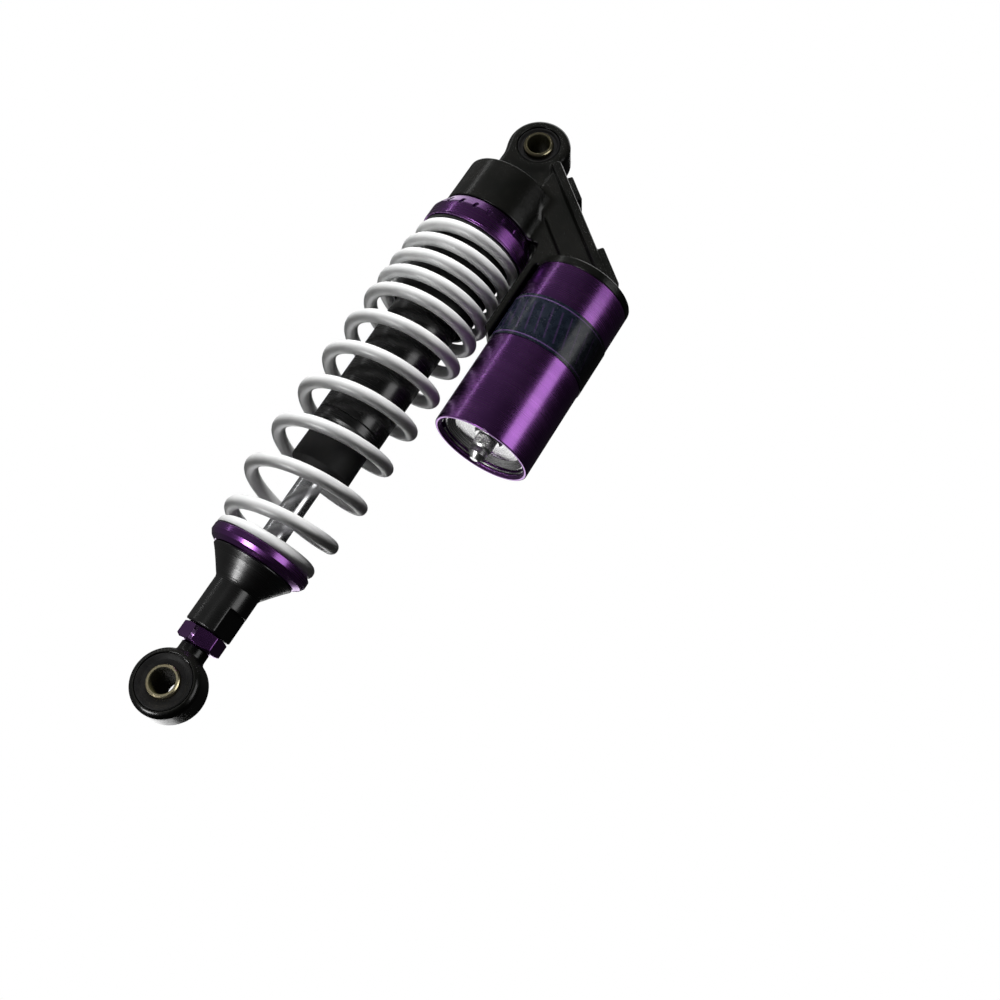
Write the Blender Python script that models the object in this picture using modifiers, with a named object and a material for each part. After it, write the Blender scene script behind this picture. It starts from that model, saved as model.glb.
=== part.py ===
"""Rear shock of a motorcycle: a coil spring over a gas damper, with an oil reservoir at its side.

Metres. +Z runs up the shock's axis, and the origin is the centre of the upper eye. Both eyes
are bored along Y, and the reservoir hangs beside the spring, towards +X. Heights named *_AT are
measured up from the centre of the lower eye, at the shock's full length.
"""

import math

import bmesh
import bpy
from mathutils import Matrix, Vector

# Driving dimensions.
EYE_TO_EYE = 0.320
STROKE = 0.038
GAP = 0.0003

# Eyes: a steel sleeve in a rubber bush in a metal boss.
BOLT_HOLE_RADIUS = 0.0060
SLEEVE_RADIUS = 0.0075
SLEEVE_FRONT = 0.0100
SLEEVE_BACK = 0.0165
SLEEVE_CHAMFER = 0.0005
BUSH_LENGTH = 0.0180
UPPER_BUSH_RADIUS = 0.0108
LOWER_BUSH_RADIUS = 0.0128
UPPER_BOSS_RADIUS = 0.0166
LOWER_BOSS_RADIUS = 0.0159
BOSS_LENGTH = 0.0184
BOSS_ROUND = 0.0036

# Spring.
WIRE_RADIUS = 0.0034
COIL_RADIUS = 0.0268
BOTTOM_COIL_RADIUS = 0.0215
TOP_COIL_RADIUS = 0.0250
TAPER_TURNS = 1.9
COIL_TURNS = 11.75
FIRST_TURN = -0.40
POINTS_PER_TURN = 16
# How far the middle of the coil bows away from the reservoir.
COIL_BOW = 0.0013
FRONT_ANGLE = math.radians(-70)
COIL_FOOT_AT = 0.0724
# Rise of each turn, at turns counted up from the foot: wide below, close at the top.
PITCHES = (
    (-0.4, 0.0),
    (0.0, 0.0055),
    (1.3, 0.0229),
    (3.0, 0.0228),
    (6.3, 0.0180),
    (7.3, 0.0108),
    (12.0, 0.0100),
)

# Lower end, from the eye up.
STUD_RADIUS = 0.0060
STUD_NECK_RADIUS = 0.0064
STUD_TOP_AT = 0.0440
JAM_NUT_AT = 0.0203
JAM_NUT_HEIGHT = 0.0080
JAM_NUT_FLATS = 0.0190
JAM_NUT_ANGLE = math.radians(-36)
LOWER_BODY_RADIUS = 0.0112
WRENCH_FLATS = 0.0172
WRENCH_FLATS_TOP_AT = 0.0413
WRENCH_FLATS_ANGLE = math.radians(-15)
BELL_RIDGE_AT = 0.0522
BELL_RIM_AT = 0.0640
BELL_RIM_RADIUS = 0.0206
SEAT_HUB_RADIUS = 0.0172
SEAT_TOP_AT = 0.0714
SEAT_RADIUS = 0.0249
SEAT_HUB_AT = 0.0745

# Damper.
ROD_RADIUS = 0.0060
ROD_END_RADIUS = 0.0040
ROD_FOOT_AT = 0.0484
ROD_SHOULDER_AT = 0.1620
TUBE_RADIUS = 0.01725
TUBE_WALL = 0.00225
TUBE_FOOT_AT = 0.1433
GLAND_FOOT_AT = 0.1373
BUMP_STOP_FOOT_AT = 0.1146
BUMP_STOP_RADIUS = 0.0152
PISTON_RADIUS = 0.0145
PISTON_HEIGHT = 0.0120
PORT_COUNT = 6

# Head casting.
BLOCK_RADIUS = 0.0245
BLOCK_FOOT_AT = 0.2687
BLOCK_SHOULDER_AT = 0.2985
BLOCK_CROWN_AT = 0.3046
BLOCK_CROWN_RADIUS = 0.0165
SOCKET_TOP_AT = 0.2930
NECK_WIDTH = 0.0296
STRUT_SLOPE = math.radians(-41.4)
STRUT_POINT = (0.0442, 0.2910)
STRUT_HALF_WIDTH = 0.0138
STRUT_THICKNESS = 0.0060
WEB_HALF_WIDTH = 0.0110
THIN_WEB_HALF_WIDTH = 0.0048
LEG_INNER_X = 0.0302
LEG_OUTER_X = 0.0339
LEG_FOOT_AT = 0.2130
PASSAGE_RADIUS = 0.0025

# Spring preload.
RING_FOOT_AT = 0.2532
RING_TOP_AT = 0.2684
RING_RADIUS = 0.0285
RING_NECK_RADIUS = 0.0244
RING_SLOTS = 22
RING_SLOT_AT = 0.2628
RING_SLOT_SIZE = (0.0040, 0.0016, 0.0040)
RING_FIRST_SLOT_ANGLE = math.radians(-75.5)
GUIDE_FLANGE_HEIGHT = 0.0010
GUIDE_FLANGE_RADIUS = 0.0277
GUIDE_RADIUS = 0.0211
GUIDE_WALL = 0.0015
GUIDE_FOOT_AT = 0.2130

# Reservoir.
RESERVOIR_X = 0.0595
RESERVOIR_RADIUS = 0.0248
RESERVOIR_WALL = 0.0028
RESERVOIR_FOOT_AT = 0.1637
RESERVOIR_TOP_AT = 0.2572
BAND_FOOT_AT = 0.2128
BAND_TOP_AT = 0.2370
BAND_THICKNESS = 0.0003
BAND_GAP = 0.00015
FLOATING_PISTON_AT = 0.2050
FLOATING_PISTON_HEIGHT = 0.0140
O_RING_WIRE = 0.0008
VALVE_RADIUS = 0.0026
VALVE_CAP_RADIUS = 0.0051

FINE_STEPS = 36
STEPS = 28
COARSE_STEPS = 20

COLOURS = {
    "gloss_black": ((0.022, 0.024, 0.022), 0.28, 0.1),
    "purple_anodised": ((0.17, 0.06, 0.26), 0.30, 0.9),
    "silver_paint": ((0.62, 0.62, 0.61), 0.40, 0.6),
    "chrome": ((0.70, 0.70, 0.70), 0.10, 1.0),
    "black_rubber": ((0.018, 0.018, 0.018), 0.70, 0.0),
    "black_plastic": ((0.020, 0.020, 0.022), 0.50, 0.0),
    "yellow_zinc": ((0.62, 0.56, 0.34), 0.30, 1.0),
    "machined_aluminium": ((0.80, 0.80, 0.80), 0.25, 1.0),
    "steel": ((0.45, 0.45, 0.46), 0.35, 1.0),
    "dark_foil": ((0.025, 0.035, 0.060), 0.35, 0.2),
}


def up(height):
    """World Z of a height above the lower eye."""
    return height - EYE_TO_EYE


def clear_scene():
    for obj in list(bpy.data.objects):
        bpy.data.objects.remove(obj, do_unlink=True)


def make_collection(name):
    collection = bpy.data.collections.new(name)
    bpy.context.scene.collection.children.link(collection)
    return collection


def make_material(name):
    colour, roughness, metallic = COLOURS[name]
    material = bpy.data.materials.new(name)
    material.use_nodes = True
    shader = material.node_tree.nodes["Principled BSDF"]
    shader.inputs["Base Color"].default_value = (*colour, 1.0)
    shader.inputs["Roughness"].default_value = roughness
    shader.inputs["Metallic"].default_value = metallic
    return material


clear_scene()
PARTS = make_collection("rear_shock")
CUTTERS = make_collection("cutters")
MATERIALS = {name: make_material(name) for name in COLOURS}


def add(name, mesh, material=None, location=(0, 0, 0)):
    """A part in its material or, with none, a helper for Booleans."""
    obj = bpy.data.objects.new(name, mesh)
    obj.location = location
    if material is None:
        CUTTERS.objects.link(obj)
        obj.hide_render = True
        obj.display_type = "WIRE"
    else:
        PARTS.objects.link(obj)
        mesh.materials.append(MATERIALS[material])
    return obj


def turned(name, outline, material=None, location=(0, 0, 0), steps=STEPS, solid=False):
    """A shape turned about Z. The outline of (radius, z) starts at the top, runs down the outer
    side and, unless the shape is solid to its axis, comes back up its bore."""
    mesh = bpy.data.meshes.new(name)
    points = [(radius, 0, z) for radius, z in outline]
    edges = [(i, i + 1) for i in range(len(points) - 1)]
    if not solid:
        edges.append((len(points) - 1, 0))
    mesh.from_pydata(points, edges, [])
    obj = add(name, mesh, material, location)
    screw = obj.modifiers.new("turn", "SCREW")
    screw.axis = "Z"
    screw.steps = steps
    screw.render_steps = steps
    screw.use_merge_vertices = True
    screw.merge_threshold = 0.00001
    screw.use_smooth_shade = True
    return obj


def ring(name, outer, inner, foot, top, material=None, location=(0, 0, 0), steps=STEPS):
    """A plain ring between two radii and two levels."""
    outline = [(outer, top), (outer, foot), (inner, foot), (inner, top)]
    return turned(name, outline, material, location, steps)


def torus_outline(radius, level, wire, points):
    """A round section of a wire ring, run the way that turned() wants it."""
    turns = [-2 * math.pi * i / points for i in range(points)]
    return [(radius + wire * math.cos(a), level + wire * math.sin(a)) for a in turns]


def lay_along_y(obj):
    """Turns a shape made about Z onto an eye's axis."""
    obj.rotation_euler = (math.radians(90), 0, 0)
    return obj


def cylinder(name, radius, depth, location, steps=COARSE_STEPS, rotation=(0, 0, 0)):
    """A round helper for Booleans."""
    mesh = bpy.data.meshes.new(name)
    shape = bmesh.new()
    bmesh.ops.create_cone(shape, cap_ends=True, segments=steps, radius1=radius, radius2=radius, depth=depth)
    shape.to_mesh(mesh)
    shape.free()
    obj = add(name, mesh, location=location)
    obj.rotation_euler = rotation
    return obj


def block(name, size, location, rotation=(0, 0, 0), bevel=0.0):
    """A box helper for Booleans, of a size already applied to its mesh."""
    mesh = bpy.data.meshes.new(name)
    shape = bmesh.new()
    bmesh.ops.create_cube(shape, size=1.0, matrix=Matrix.Diagonal((*size, 1.0)))
    shape.to_mesh(mesh)
    shape.free()
    obj = add(name, mesh, location=location)
    obj.rotation_euler = rotation
    if bevel:
        round_edges(obj, bevel)
    return obj


def plate(name, outline, half_width):
    """A flat outline of (x, z) points, extruded both ways along Y, as a mesh helper."""
    curve = bpy.data.curves.new(name, "CURVE")
    curve.dimensions = "2D"
    curve.fill_mode = "BOTH"
    curve.extrude = half_width
    spline = curve.splines.new("POLY")
    spline.points.add(len(outline) - 1)
    for point, (x, z) in zip(spline.points, outline):
        point.co = (x, z, 0, 1)
    spline.use_cyclic_u = True
    guide = add(name + "_outline", curve)
    guide.rotation_euler = (math.radians(90), 0, 0)
    return meshed(guide, name)


def meshed(guide, name, material=None):
    """Replaces a curve by a closed mesh of the same shape and place."""
    bpy.context.view_layer.update()
    graph = bpy.context.evaluated_depsgraph_get()
    mesh = bpy.data.meshes.new_from_object(guide.evaluated_get(graph))
    shape = bmesh.new()
    shape.from_mesh(mesh)
    bmesh.ops.remove_doubles(shape, verts=shape.verts, dist=0.000002)
    bmesh.ops.recalc_face_normals(shape, faces=shape.faces)
    shape.to_mesh(mesh)
    shape.free()
    obj = add(name, mesh, material)
    obj.matrix_world = guide.matrix_world
    bpy.data.objects.remove(guide, do_unlink=True)
    return obj


def round_edges(obj, width, segments=2, angle=30):
    bevel = obj.modifiers.new("round", "BEVEL")
    bevel.width = width
    bevel.segments = segments
    bevel.limit_method = "ANGLE"
    bevel.angle_limit = math.radians(angle)


def boolean(obj, other, operation):
    modifier = obj.modifiers.new(other.name, "BOOLEAN")
    modifier.operation = operation
    modifier.solver = "EXACT"
    modifier.object = other


def cut(obj, *cutters):
    for cutter in cutters:
        boolean(obj, cutter, "DIFFERENCE")


def join(obj, *others):
    for other in others:
        boolean(obj, other, "UNION")


def around(count, start=0.0):
    """Angles evenly spread over a turn."""
    return [start + 2 * math.pi * i / count for i in range(count)]


def boss_outline(radius, bore):
    """Section of an eye's boss about its own axis, with rounded rims."""
    half = BOSS_LENGTH / 2
    face = radius - BOSS_ROUND
    corner = [
        (face + BOSS_ROUND * math.sin(a), half - BOSS_ROUND + BOSS_ROUND * math.cos(a))
        for a in (math.radians(d) for d in (0, 30, 60, 90))
    ]
    mirrored = [(r, -z) for r, z in reversed(corner)]
    return [*corner, *mirrored, (bore, -half), (bore, half)]


def eye_fittings(prefix, centre, bush_radius):
    """The rubber bush of an eye, and the steel sleeve that the bolt goes through."""
    half = BUSH_LENGTH / 2
    dish = 0.0012
    dish_radius = (bush_radius + SLEEVE_RADIUS) / 2
    bore = SLEEVE_RADIUS + GAP
    bush = [
        (bush_radius - 0.0006, half),
        (bush_radius, half - 0.0006),
        (bush_radius, -half + 0.0006),
        (bush_radius - 0.0006, -half),
        (dish_radius, -half + dish),
        (bore, -half + dish),
        (bore, half - dish),
        (dish_radius, half - dish),
    ]
    lay_along_y(turned(prefix + "_bush", bush, "black_rubber", centre))
    front, back = SLEEVE_FRONT, -SLEEVE_BACK
    sleeve = [
        (SLEEVE_RADIUS - SLEEVE_CHAMFER, front),
        (SLEEVE_RADIUS, front - SLEEVE_CHAMFER),
        (SLEEVE_RADIUS, back + SLEEVE_CHAMFER),
        (SLEEVE_RADIUS - SLEEVE_CHAMFER, back),
        (BOLT_HOLE_RADIUS, back),
        (BOLT_HOLE_RADIUS, front),
    ]
    lay_along_y(turned(prefix + "_sleeve", sleeve, "yellow_zinc", centre))


def strut_level(x):
    """Height of the strut's upper side above the lower eye, at a distance from the shock's axis."""
    return STRUT_POINT[1] + (x - STRUT_POINT[0]) * math.tan(STRUT_SLOPE)


def on_strut(name, start_x, end_x, half_width, above, below, bevel):
    """A box that lies along the strut between two distances from the axis, reaching above and
    below the line of the strut's upper side."""
    start = Vector((start_x, 0, up(strut_level(start_x))))
    end = Vector((end_x, 0, up(strut_level(end_x))))
    normal = Vector((-math.sin(STRUT_SLOPE), 0, math.cos(STRUT_SLOPE)))
    centre = (start + end) / 2 + normal * (above - below) / 2
    size = ((end - start).length, 2 * half_width, above + below)
    return block(name, size, centre, (0, -STRUT_SLOPE, 0), bevel)


def head_casting():
    """One casting: upper eye, block on the spring, strut with its webs, and the reservoir's lid."""
    body = [
        (0, up(BLOCK_CROWN_AT)),
        (BLOCK_CROWN_RADIUS, up(BLOCK_CROWN_AT)),
        (BLOCK_RADIUS, up(BLOCK_SHOULDER_AT)),
        (BLOCK_RADIUS, up(BLOCK_FOOT_AT)),
        (0, up(BLOCK_FOOT_AT)),
    ]
    casting = turned("head_casting", body, "gloss_black", steps=FINE_STEPS, solid=True)

    boss = boss_outline(UPPER_BOSS_RADIUS, 0.0)
    boss = [(0, BOSS_LENGTH / 2), *boss[:-2], (0, -BOSS_LENGTH / 2)]
    eye = lay_along_y(turned("eye_boss", boss, solid=True))
    neck_foot, neck_top = up(BLOCK_SHOULDER_AT), -0.0020
    neck_size = (NECK_WIDTH, 0.0168, neck_top - neck_foot)
    neck = block("eye_neck", neck_size, (0, 0, (neck_foot + neck_top) / 2), bevel=0.0030)

    flange = on_strut("strut_flange", 0.0165, 0.0760, STRUT_HALF_WIDTH, 0.0, STRUT_THICKNESS, 0.0022)
    eye_pad = on_strut("strut_eye_pad", 0.0235, 0.0345, 0.0100, 0.0022, 0.0030, 0.0010)
    lid_pad = on_strut("strut_lid_pad", 0.0605, 0.0745, 0.0120, 0.0034, 0.0030, 0.0010)
    web_outline = [
        (0.0150, up(0.3095)),
        (0.0150, up(0.2917)),
        (0.0249, up(0.2829)),
        (0.0414, up(0.2683)),
        (0.0500, up(0.2605)),
        (0.0730, up(0.2605)),
        (0.0730, up(strut_level(0.0730) - 0.0010)),
        (0.0200, up(strut_level(0.0200) - 0.0010)),
    ]
    web = plate("strut_web", web_outline, WEB_HALF_WIDTH)
    thin_outline = [
        (0.0200, up(0.2920)),
        (0.0200, up(0.2697)),
        (LEG_INNER_X - 0.0010, up(0.2691)),
        (LEG_INNER_X, up(0.2640)),
        (LEG_INNER_X, up(LEG_FOOT_AT + 0.0040)),
        (LEG_OUTER_X, up(LEG_FOOT_AT)),
        (LEG_OUTER_X, up(0.2590)),
        (0.0450, up(0.2590)),
        (0.0480, up(0.2700)),
    ]
    thin_web = plate("lower_web", thin_outline, THIN_WEB_HALF_WIDTH)

    rim = RESERVOIR_RADIUS
    spigot = RESERVOIR_RADIUS - RESERVOIR_WALL - GAP
    lid_foot = RESERVOIR_TOP_AT + GAP
    lid_outline = [
        (0, up(0.2668)),
        (0.0140, up(0.2668)),
        (0.0200, up(0.2634)),
        (0.0243, up(0.2618)),
        (rim, up(0.2612)),
        (rim, up(lid_foot)),
        (spigot, up(lid_foot)),
        (spigot, up(0.2550)),
        (spigot - 0.0020, up(0.2550)),
        (spigot - 0.0020, up(0.2520)),
        (spigot, up(0.2520)),
        (spigot, up(0.2490)),
        (0, up(0.2490)),
    ]
    lid = turned("reservoir_lid", lid_outline, location=(RESERVOIR_X, 0, 0), steps=FINE_STEPS, solid=True)
    join(casting, neck, eye, web, thin_web, flange, eye_pad, lid_pad, lid)

    bush_hole = lay_along_y(cylinder("bush_hole", UPPER_BUSH_RADIUS + GAP, 0.05, (0, 0, 0), STEPS))
    socket_foot = BLOCK_FOOT_AT - 0.01
    socket_middle = up((socket_foot + SOCKET_TOP_AT) / 2)
    socket_depth = SOCKET_TOP_AT - socket_foot
    socket = cylinder("tube_socket", TUBE_RADIUS + GAP, socket_depth, (0, 0, socket_middle), STEPS)
    passage_start = Vector((0.0080, 0, up(0.2940)))
    passage_end = Vector((RESERVOIR_X, 0, up(0.2590)))
    run = passage_end - passage_start
    lean = (0, math.atan2(run.x, run.z), 0)
    middle = (passage_start + passage_end) / 2
    passage = cylinder("oil_passage", PASSAGE_RADIUS, run.length, middle, 12, lean)
    outlet_foot = 0.2450
    outlet_middle = up((outlet_foot + 0.2595) / 2)
    outlet = cylinder("oil_outlet", 0.0040, 0.2595 - outlet_foot, (RESERVOIR_X, 0, outlet_middle), 16)
    cut(casting, bush_hole, socket, passage, outlet)


def coil_level(turn):
    """Height of the wire's centre after this many turns, from the rise of each turn."""
    level = COIL_FOOT_AT
    for (t0, p0), (t1, p1) in zip(PITCHES, PITCHES[1:]):
        if turn <= t0:
            break
        end = min(turn, t1)
        rise_at_end = p0 + (p1 - p0) * (end - t0) / (t1 - t0)
        level += (end - t0) * (p0 + rise_at_end) / 2
    return level


def ease(share):
    share = min(max(share, 0.0), 1.0)
    return share * share * (3 - 2 * share)


def coil_radius(turn):
    """The coil draws in towards both of its closed ends."""
    last = FIRST_TURN + COIL_TURNS
    foot = BOTTOM_COIL_RADIUS + (COIL_RADIUS - BOTTOM_COIL_RADIUS) * ease(turn / TAPER_TURNS)
    head = TOP_COIL_RADIUS + (COIL_RADIUS - TOP_COIL_RADIUS) * ease((last - turn) / TAPER_TURNS)
    return min(foot, head)


def coil_spring():
    """A right-hand coil whose ends are ground flat to the seat and to the washer."""
    curve = bpy.data.curves.new("coil", "CURVE")
    curve.dimensions = "3D"
    curve.bevel_depth = WIRE_RADIUS
    curve.bevel_resolution = 2
    curve.use_fill_caps = True
    count = round(COIL_TURNS * POINTS_PER_TURN) + 1
    spline = curve.splines.new("POLY")
    spline.points.add(count - 1)
    for i, point in enumerate(spline.points):
        turn = FIRST_TURN + COIL_TURNS * i / (count - 1)
        angle = FRONT_ANGLE + 2 * math.pi * turn
        radius = coil_radius(turn)
        bow = COIL_BOW * math.sin(math.pi * i / (count - 1))
        point.co = (radius * math.cos(angle) - bow, radius * math.sin(angle), up(coil_level(turn)), 1)
    spring = meshed(add("coil_guide", curve), "coil_spring", "silver_paint")
    low = SEAT_TOP_AT + GAP
    high = RING_FOOT_AT - 2 * GAP - GUIDE_FLANGE_HEIGHT
    ground = cylinder("ground_ends", 0.045, high - low, (0, 0, up((high + low) / 2)), 16)
    boolean(spring, ground, "INTERSECT")


def preload_ring():
    """Turned ring with spanner slots round its cone, which rests under the head and pushes the
    spring down."""
    bore = TUBE_RADIUS + GAP
    outline = [
        (RING_NECK_RADIUS, up(RING_TOP_AT)),
        (RING_NECK_RADIUS + 0.0006, up(RING_TOP_AT - 0.0004)),
        (RING_RADIUS - 0.0005, up(RING_TOP_AT - 0.0062)),
        (RING_RADIUS, up(RING_TOP_AT - 0.0075)),
        (RING_RADIUS, up(RING_FOOT_AT)),
        (bore, up(RING_FOOT_AT)),
        (bore, up(RING_TOP_AT)),
    ]
    part = turned("preload_ring", outline, "purple_anodised", steps=FINE_STEPS)
    middle, level = RING_RADIUS - 0.0006, up(RING_SLOT_AT)
    slots = [
        block(f"ring_slot_{i}", RING_SLOT_SIZE, (middle * math.cos(a), middle * math.sin(a), level), (0, 0, a))
        for i, a in enumerate(around(RING_SLOTS, RING_FIRST_SLOT_ANGLE))
    ]
    cut(part, *slots)


def spring_guide():
    """Flanged sleeve under the preload ring: the spring pushes on its flange, and the sleeve keeps
    the close coils off the tube."""
    top = RING_FOOT_AT - GAP
    flange_foot = top - GUIDE_FLANGE_HEIGHT
    inner = GUIDE_RADIUS - GUIDE_WALL
    bore = TUBE_RADIUS + GAP
    outline = [
        (GUIDE_FLANGE_RADIUS, up(top)),
        (GUIDE_FLANGE_RADIUS, up(flange_foot)),
        (GUIDE_RADIUS, up(flange_foot)),
        (GUIDE_RADIUS, up(GUIDE_FOOT_AT)),
        (inner, up(GUIDE_FOOT_AT)),
        (inner, up(flange_foot)),
        (bore, up(flange_foot)),
        (bore, up(top)),
    ]
    turned("spring_guide", outline, "black_plastic")


def spring_seat():
    """Turned seat that carries the spring's foot, with a hub inside the last coil."""
    bore = ROD_RADIUS + GAP
    outline = [
        (SEAT_HUB_RADIUS - 0.0010, up(SEAT_HUB_AT)),
        (SEAT_HUB_RADIUS, up(SEAT_HUB_AT - 0.0010)),
        (SEAT_HUB_RADIUS, up(SEAT_TOP_AT)),
        (SEAT_RADIUS - 0.0005, up(SEAT_TOP_AT)),
        (SEAT_RADIUS, up(SEAT_TOP_AT - 0.0005)),
        (SEAT_RADIUS, up(0.0679)),
        (0.0238, up(0.0657)),
        (0.0220, up(BELL_RIM_AT + GAP)),
        (bore, up(BELL_RIM_AT + GAP)),
        (bore, up(SEAT_HUB_AT)),
    ]
    turned("spring_seat", outline, "purple_anodised", steps=FINE_STEPS)


def lower_body():
    """Bell under the seat, narrowing to a shank with two wrench flats. The rod screws into its
    top, and the lower eye's stud into its foot."""
    foot = JAM_NUT_AT + JAM_NUT_HEIGHT + GAP
    stud_bore = STUD_RADIUS + GAP
    rod_bore = ROD_RADIUS + GAP
    outline = [
        (BELL_RIM_RADIUS, up(BELL_RIM_AT)),
        (BELL_RIM_RADIUS, up(0.0632)),
        (0.0182, up(0.0605)),
        (0.0148, up(0.0562)),
        (0.0124, up(BELL_RIDGE_AT + 0.0008)),
        (0.0117, up(BELL_RIDGE_AT)),
        (LOWER_BODY_RADIUS, up(BELL_RIDGE_AT - 0.0012)),
        (LOWER_BODY_RADIUS, up(foot + 0.0006)),
        (LOWER_BODY_RADIUS - 0.0006, up(foot)),
        (0, up(foot)),
    ]
    outline = [(0, up(BELL_RIM_AT)), *outline]
    part = turned("lower_body", outline, "gloss_black", solid=True)
    rod_hole_foot = ROD_FOOT_AT - GAP
    rod_hole_top = BELL_RIM_AT + 0.0010
    rod_hole_middle = up((rod_hole_foot + rod_hole_top) / 2)
    rod_hole = cylinder("rod_thread_hole", rod_bore, rod_hole_top - rod_hole_foot, (0, 0, rod_hole_middle))
    stud_hole_foot = foot - 0.0010
    stud_hole_top = STUD_TOP_AT + GAP
    stud_hole_middle = up((stud_hole_foot + stud_hole_top) / 2)
    stud_hole_depth = stud_hole_top - stud_hole_foot
    stud_hole = cylinder("stud_thread_hole", stud_bore, stud_hole_depth, (0, 0, stud_hole_middle))
    flat_height = 0.0200
    reach = 0.0100
    flats = []
    for i, angle in enumerate(around(2, WRENCH_FLATS_ANGLE)):
        distance = (WRENCH_FLATS + reach) / 2
        level = up(WRENCH_FLATS_TOP_AT - flat_height / 2)
        centre = (distance * math.cos(angle), distance * math.sin(angle), level)
        flats.append(block(f"wrench_flat_{i}", (reach, 0.0300, flat_height), centre, (0, 0, angle)))
    cut(part, rod_hole, stud_hole, *flats)


def jam_nut():
    """Chamfered hexagon nut on the stud."""
    corner = JAM_NUT_FLATS / math.sqrt(3)
    middle = up(JAM_NUT_AT + JAM_NUT_HEIGHT / 2)
    outer = corner - 0.0001
    chamfer = 0.0011
    foot, top = up(JAM_NUT_AT), up(JAM_NUT_AT + JAM_NUT_HEIGHT)
    bore = STUD_RADIUS + GAP
    outline = [
        (outer - 1.6 * chamfer, top),
        (outer, top - 0.6 * chamfer),
        (outer, foot + chamfer),
        (outer - 1.8 * chamfer, foot),
        (bore, foot),
        (bore, top),
    ]
    part = turned("jam_nut", outline, "purple_anodised", steps=FINE_STEPS)
    hexagon = cylinder("nut_hexagon", corner, 2 * JAM_NUT_HEIGHT, (0, 0, middle), 6, (0, 0, JAM_NUT_ANGLE))
    boolean(part, hexagon, "INTERSECT")


def lower_eye():
    """Forged eye with its threaded stud."""
    centre = (0, 0, up(0))
    boss = boss_outline(LOWER_BOSS_RADIUS, 0.0)
    boss = [(0, BOSS_LENGTH / 2), *boss[:-2], (0, -BOSS_LENGTH / 2)]
    part = lay_along_y(turned("lower_eye", boss, "gloss_black", centre, FINE_STEPS, solid=True))
    neck_top = JAM_NUT_AT - GAP
    stud = turned(
        "eye_stud",
        [
            (0, up(STUD_TOP_AT)),
            (STUD_RADIUS - 0.0008, up(STUD_TOP_AT)),
            (STUD_RADIUS, up(STUD_TOP_AT - 0.0008)),
            (STUD_RADIUS, up(neck_top)),
            (STUD_NECK_RADIUS, up(neck_top)),
            (STUD_NECK_RADIUS, up(0.0172)),
            (STUD_NECK_RADIUS + 0.0020, up(0.0150)),
            (STUD_NECK_RADIUS + 0.0020, up(0.0140)),
            (0, up(0.0140)),
        ],
        solid=True,
        steps=COARSE_STEPS,
    )
    join(part, stud)
    cut(part, lay_along_y(cylinder("lower_bush_hole", LOWER_BUSH_RADIUS + GAP, 0.05, centre, STEPS)))


def damper_tube():
    """Damper body, the gland in its mouth with the pieces that seal the rod, and the bump stop."""
    inner = TUBE_RADIUS - TUBE_WALL
    ring("damper_tube", TUBE_RADIUS, inner, up(TUBE_FOOT_AT), up(SOCKET_TOP_AT - GAP), "gloss_black")
    rod_bore = ROD_RADIUS + GAP
    guide_pocket = 0.0083
    wiper_pocket = 0.0090
    gland_top = 0.1500
    flange_top = TUBE_FOOT_AT - GAP
    wiper_top = 0.1412
    gland = [
        (inner - GAP, up(gland_top)),
        (inner - GAP, up(flange_top)),
        (TUBE_RADIUS, up(flange_top)),
        (TUBE_RADIUS, up(GLAND_FOOT_AT + 0.0014)),
        (TUBE_RADIUS - 0.0014, up(GLAND_FOOT_AT)),
        (wiper_pocket, up(GLAND_FOOT_AT)),
        (wiper_pocket, up(wiper_top)),
        (rod_bore + 0.0006, up(wiper_top)),
        (rod_bore + 0.0006, up(wiper_top + 0.0008)),
        (guide_pocket, up(wiper_top + 0.0008)),
        (guide_pocket, up(gland_top)),
    ]
    turned("tube_gland", gland, "gloss_black")
    lip = [
        (wiper_pocket - GAP, up(wiper_top - GAP)),
        (wiper_pocket - GAP, up(GLAND_FOOT_AT + 0.0004)),
        (rod_bore + 0.0012, up(GLAND_FOOT_AT + 0.0004)),
        (rod_bore, up(GLAND_FOOT_AT + 0.0010)),
        (rod_bore, up(wiper_top - GAP)),
    ]
    turned("dust_wiper", lip, "black_rubber", steps=COARSE_STEPS)
    guide_foot = wiper_top + 0.0008 + GAP
    ring("rod_guide", guide_pocket - GAP, rod_bore, up(guide_foot), up(gland_top), "steel", steps=COARSE_STEPS)
    seal_foot = gland_top + GAP
    seal = [
        (inner - 2 * GAP, up(seal_foot + 0.0036)),
        (inner - 2 * GAP, up(seal_foot)),
        (rod_bore, up(seal_foot)),
        (rod_bore, up(seal_foot + 0.0028)),
        (rod_bore + 0.0020, up(seal_foot + 0.0036)),
    ]
    turned("rod_seal", seal, "black_rubber", steps=COARSE_STEPS)
    clip_foot = seal_foot + 0.0036 + GAP
    open_ring("gland_circlip", inner - GAP, 0.0126, clip_foot, 0.0010, (0, 0, 0))

    stop_top = GLAND_FOOT_AT - GAP
    stop = [
        (BUMP_STOP_RADIUS - 0.0012, up(stop_top)),
        (BUMP_STOP_RADIUS - 0.0003, up(stop_top - 0.0012)),
        (BUMP_STOP_RADIUS, up(BUMP_STOP_FOOT_AT + 0.0030)),
        (BUMP_STOP_RADIUS - 0.0034, up(BUMP_STOP_FOOT_AT)),
        (0.0094, up(BUMP_STOP_FOOT_AT)),
        (0.0084, up(BUMP_STOP_FOOT_AT + 0.0040)),
        (rod_bore, up(BUMP_STOP_FOOT_AT + 0.0050)),
        (rod_bore, up(stop_top)),
    ]
    turned("bump_stop", stop, "black_rubber")


def open_ring(name, outer, inner, foot, height, location):
    """A flat circlip: a ring with a gap between its two ends."""
    x, y, _ = location
    part = ring(name, outer, inner, up(foot), up(foot + height), "steel", location, COARSE_STEPS)
    opening = block(name + "_opening", (0.0120, 0.0080, 0.0060), (x, y + outer, up(foot)))
    cut(part, opening)


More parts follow.
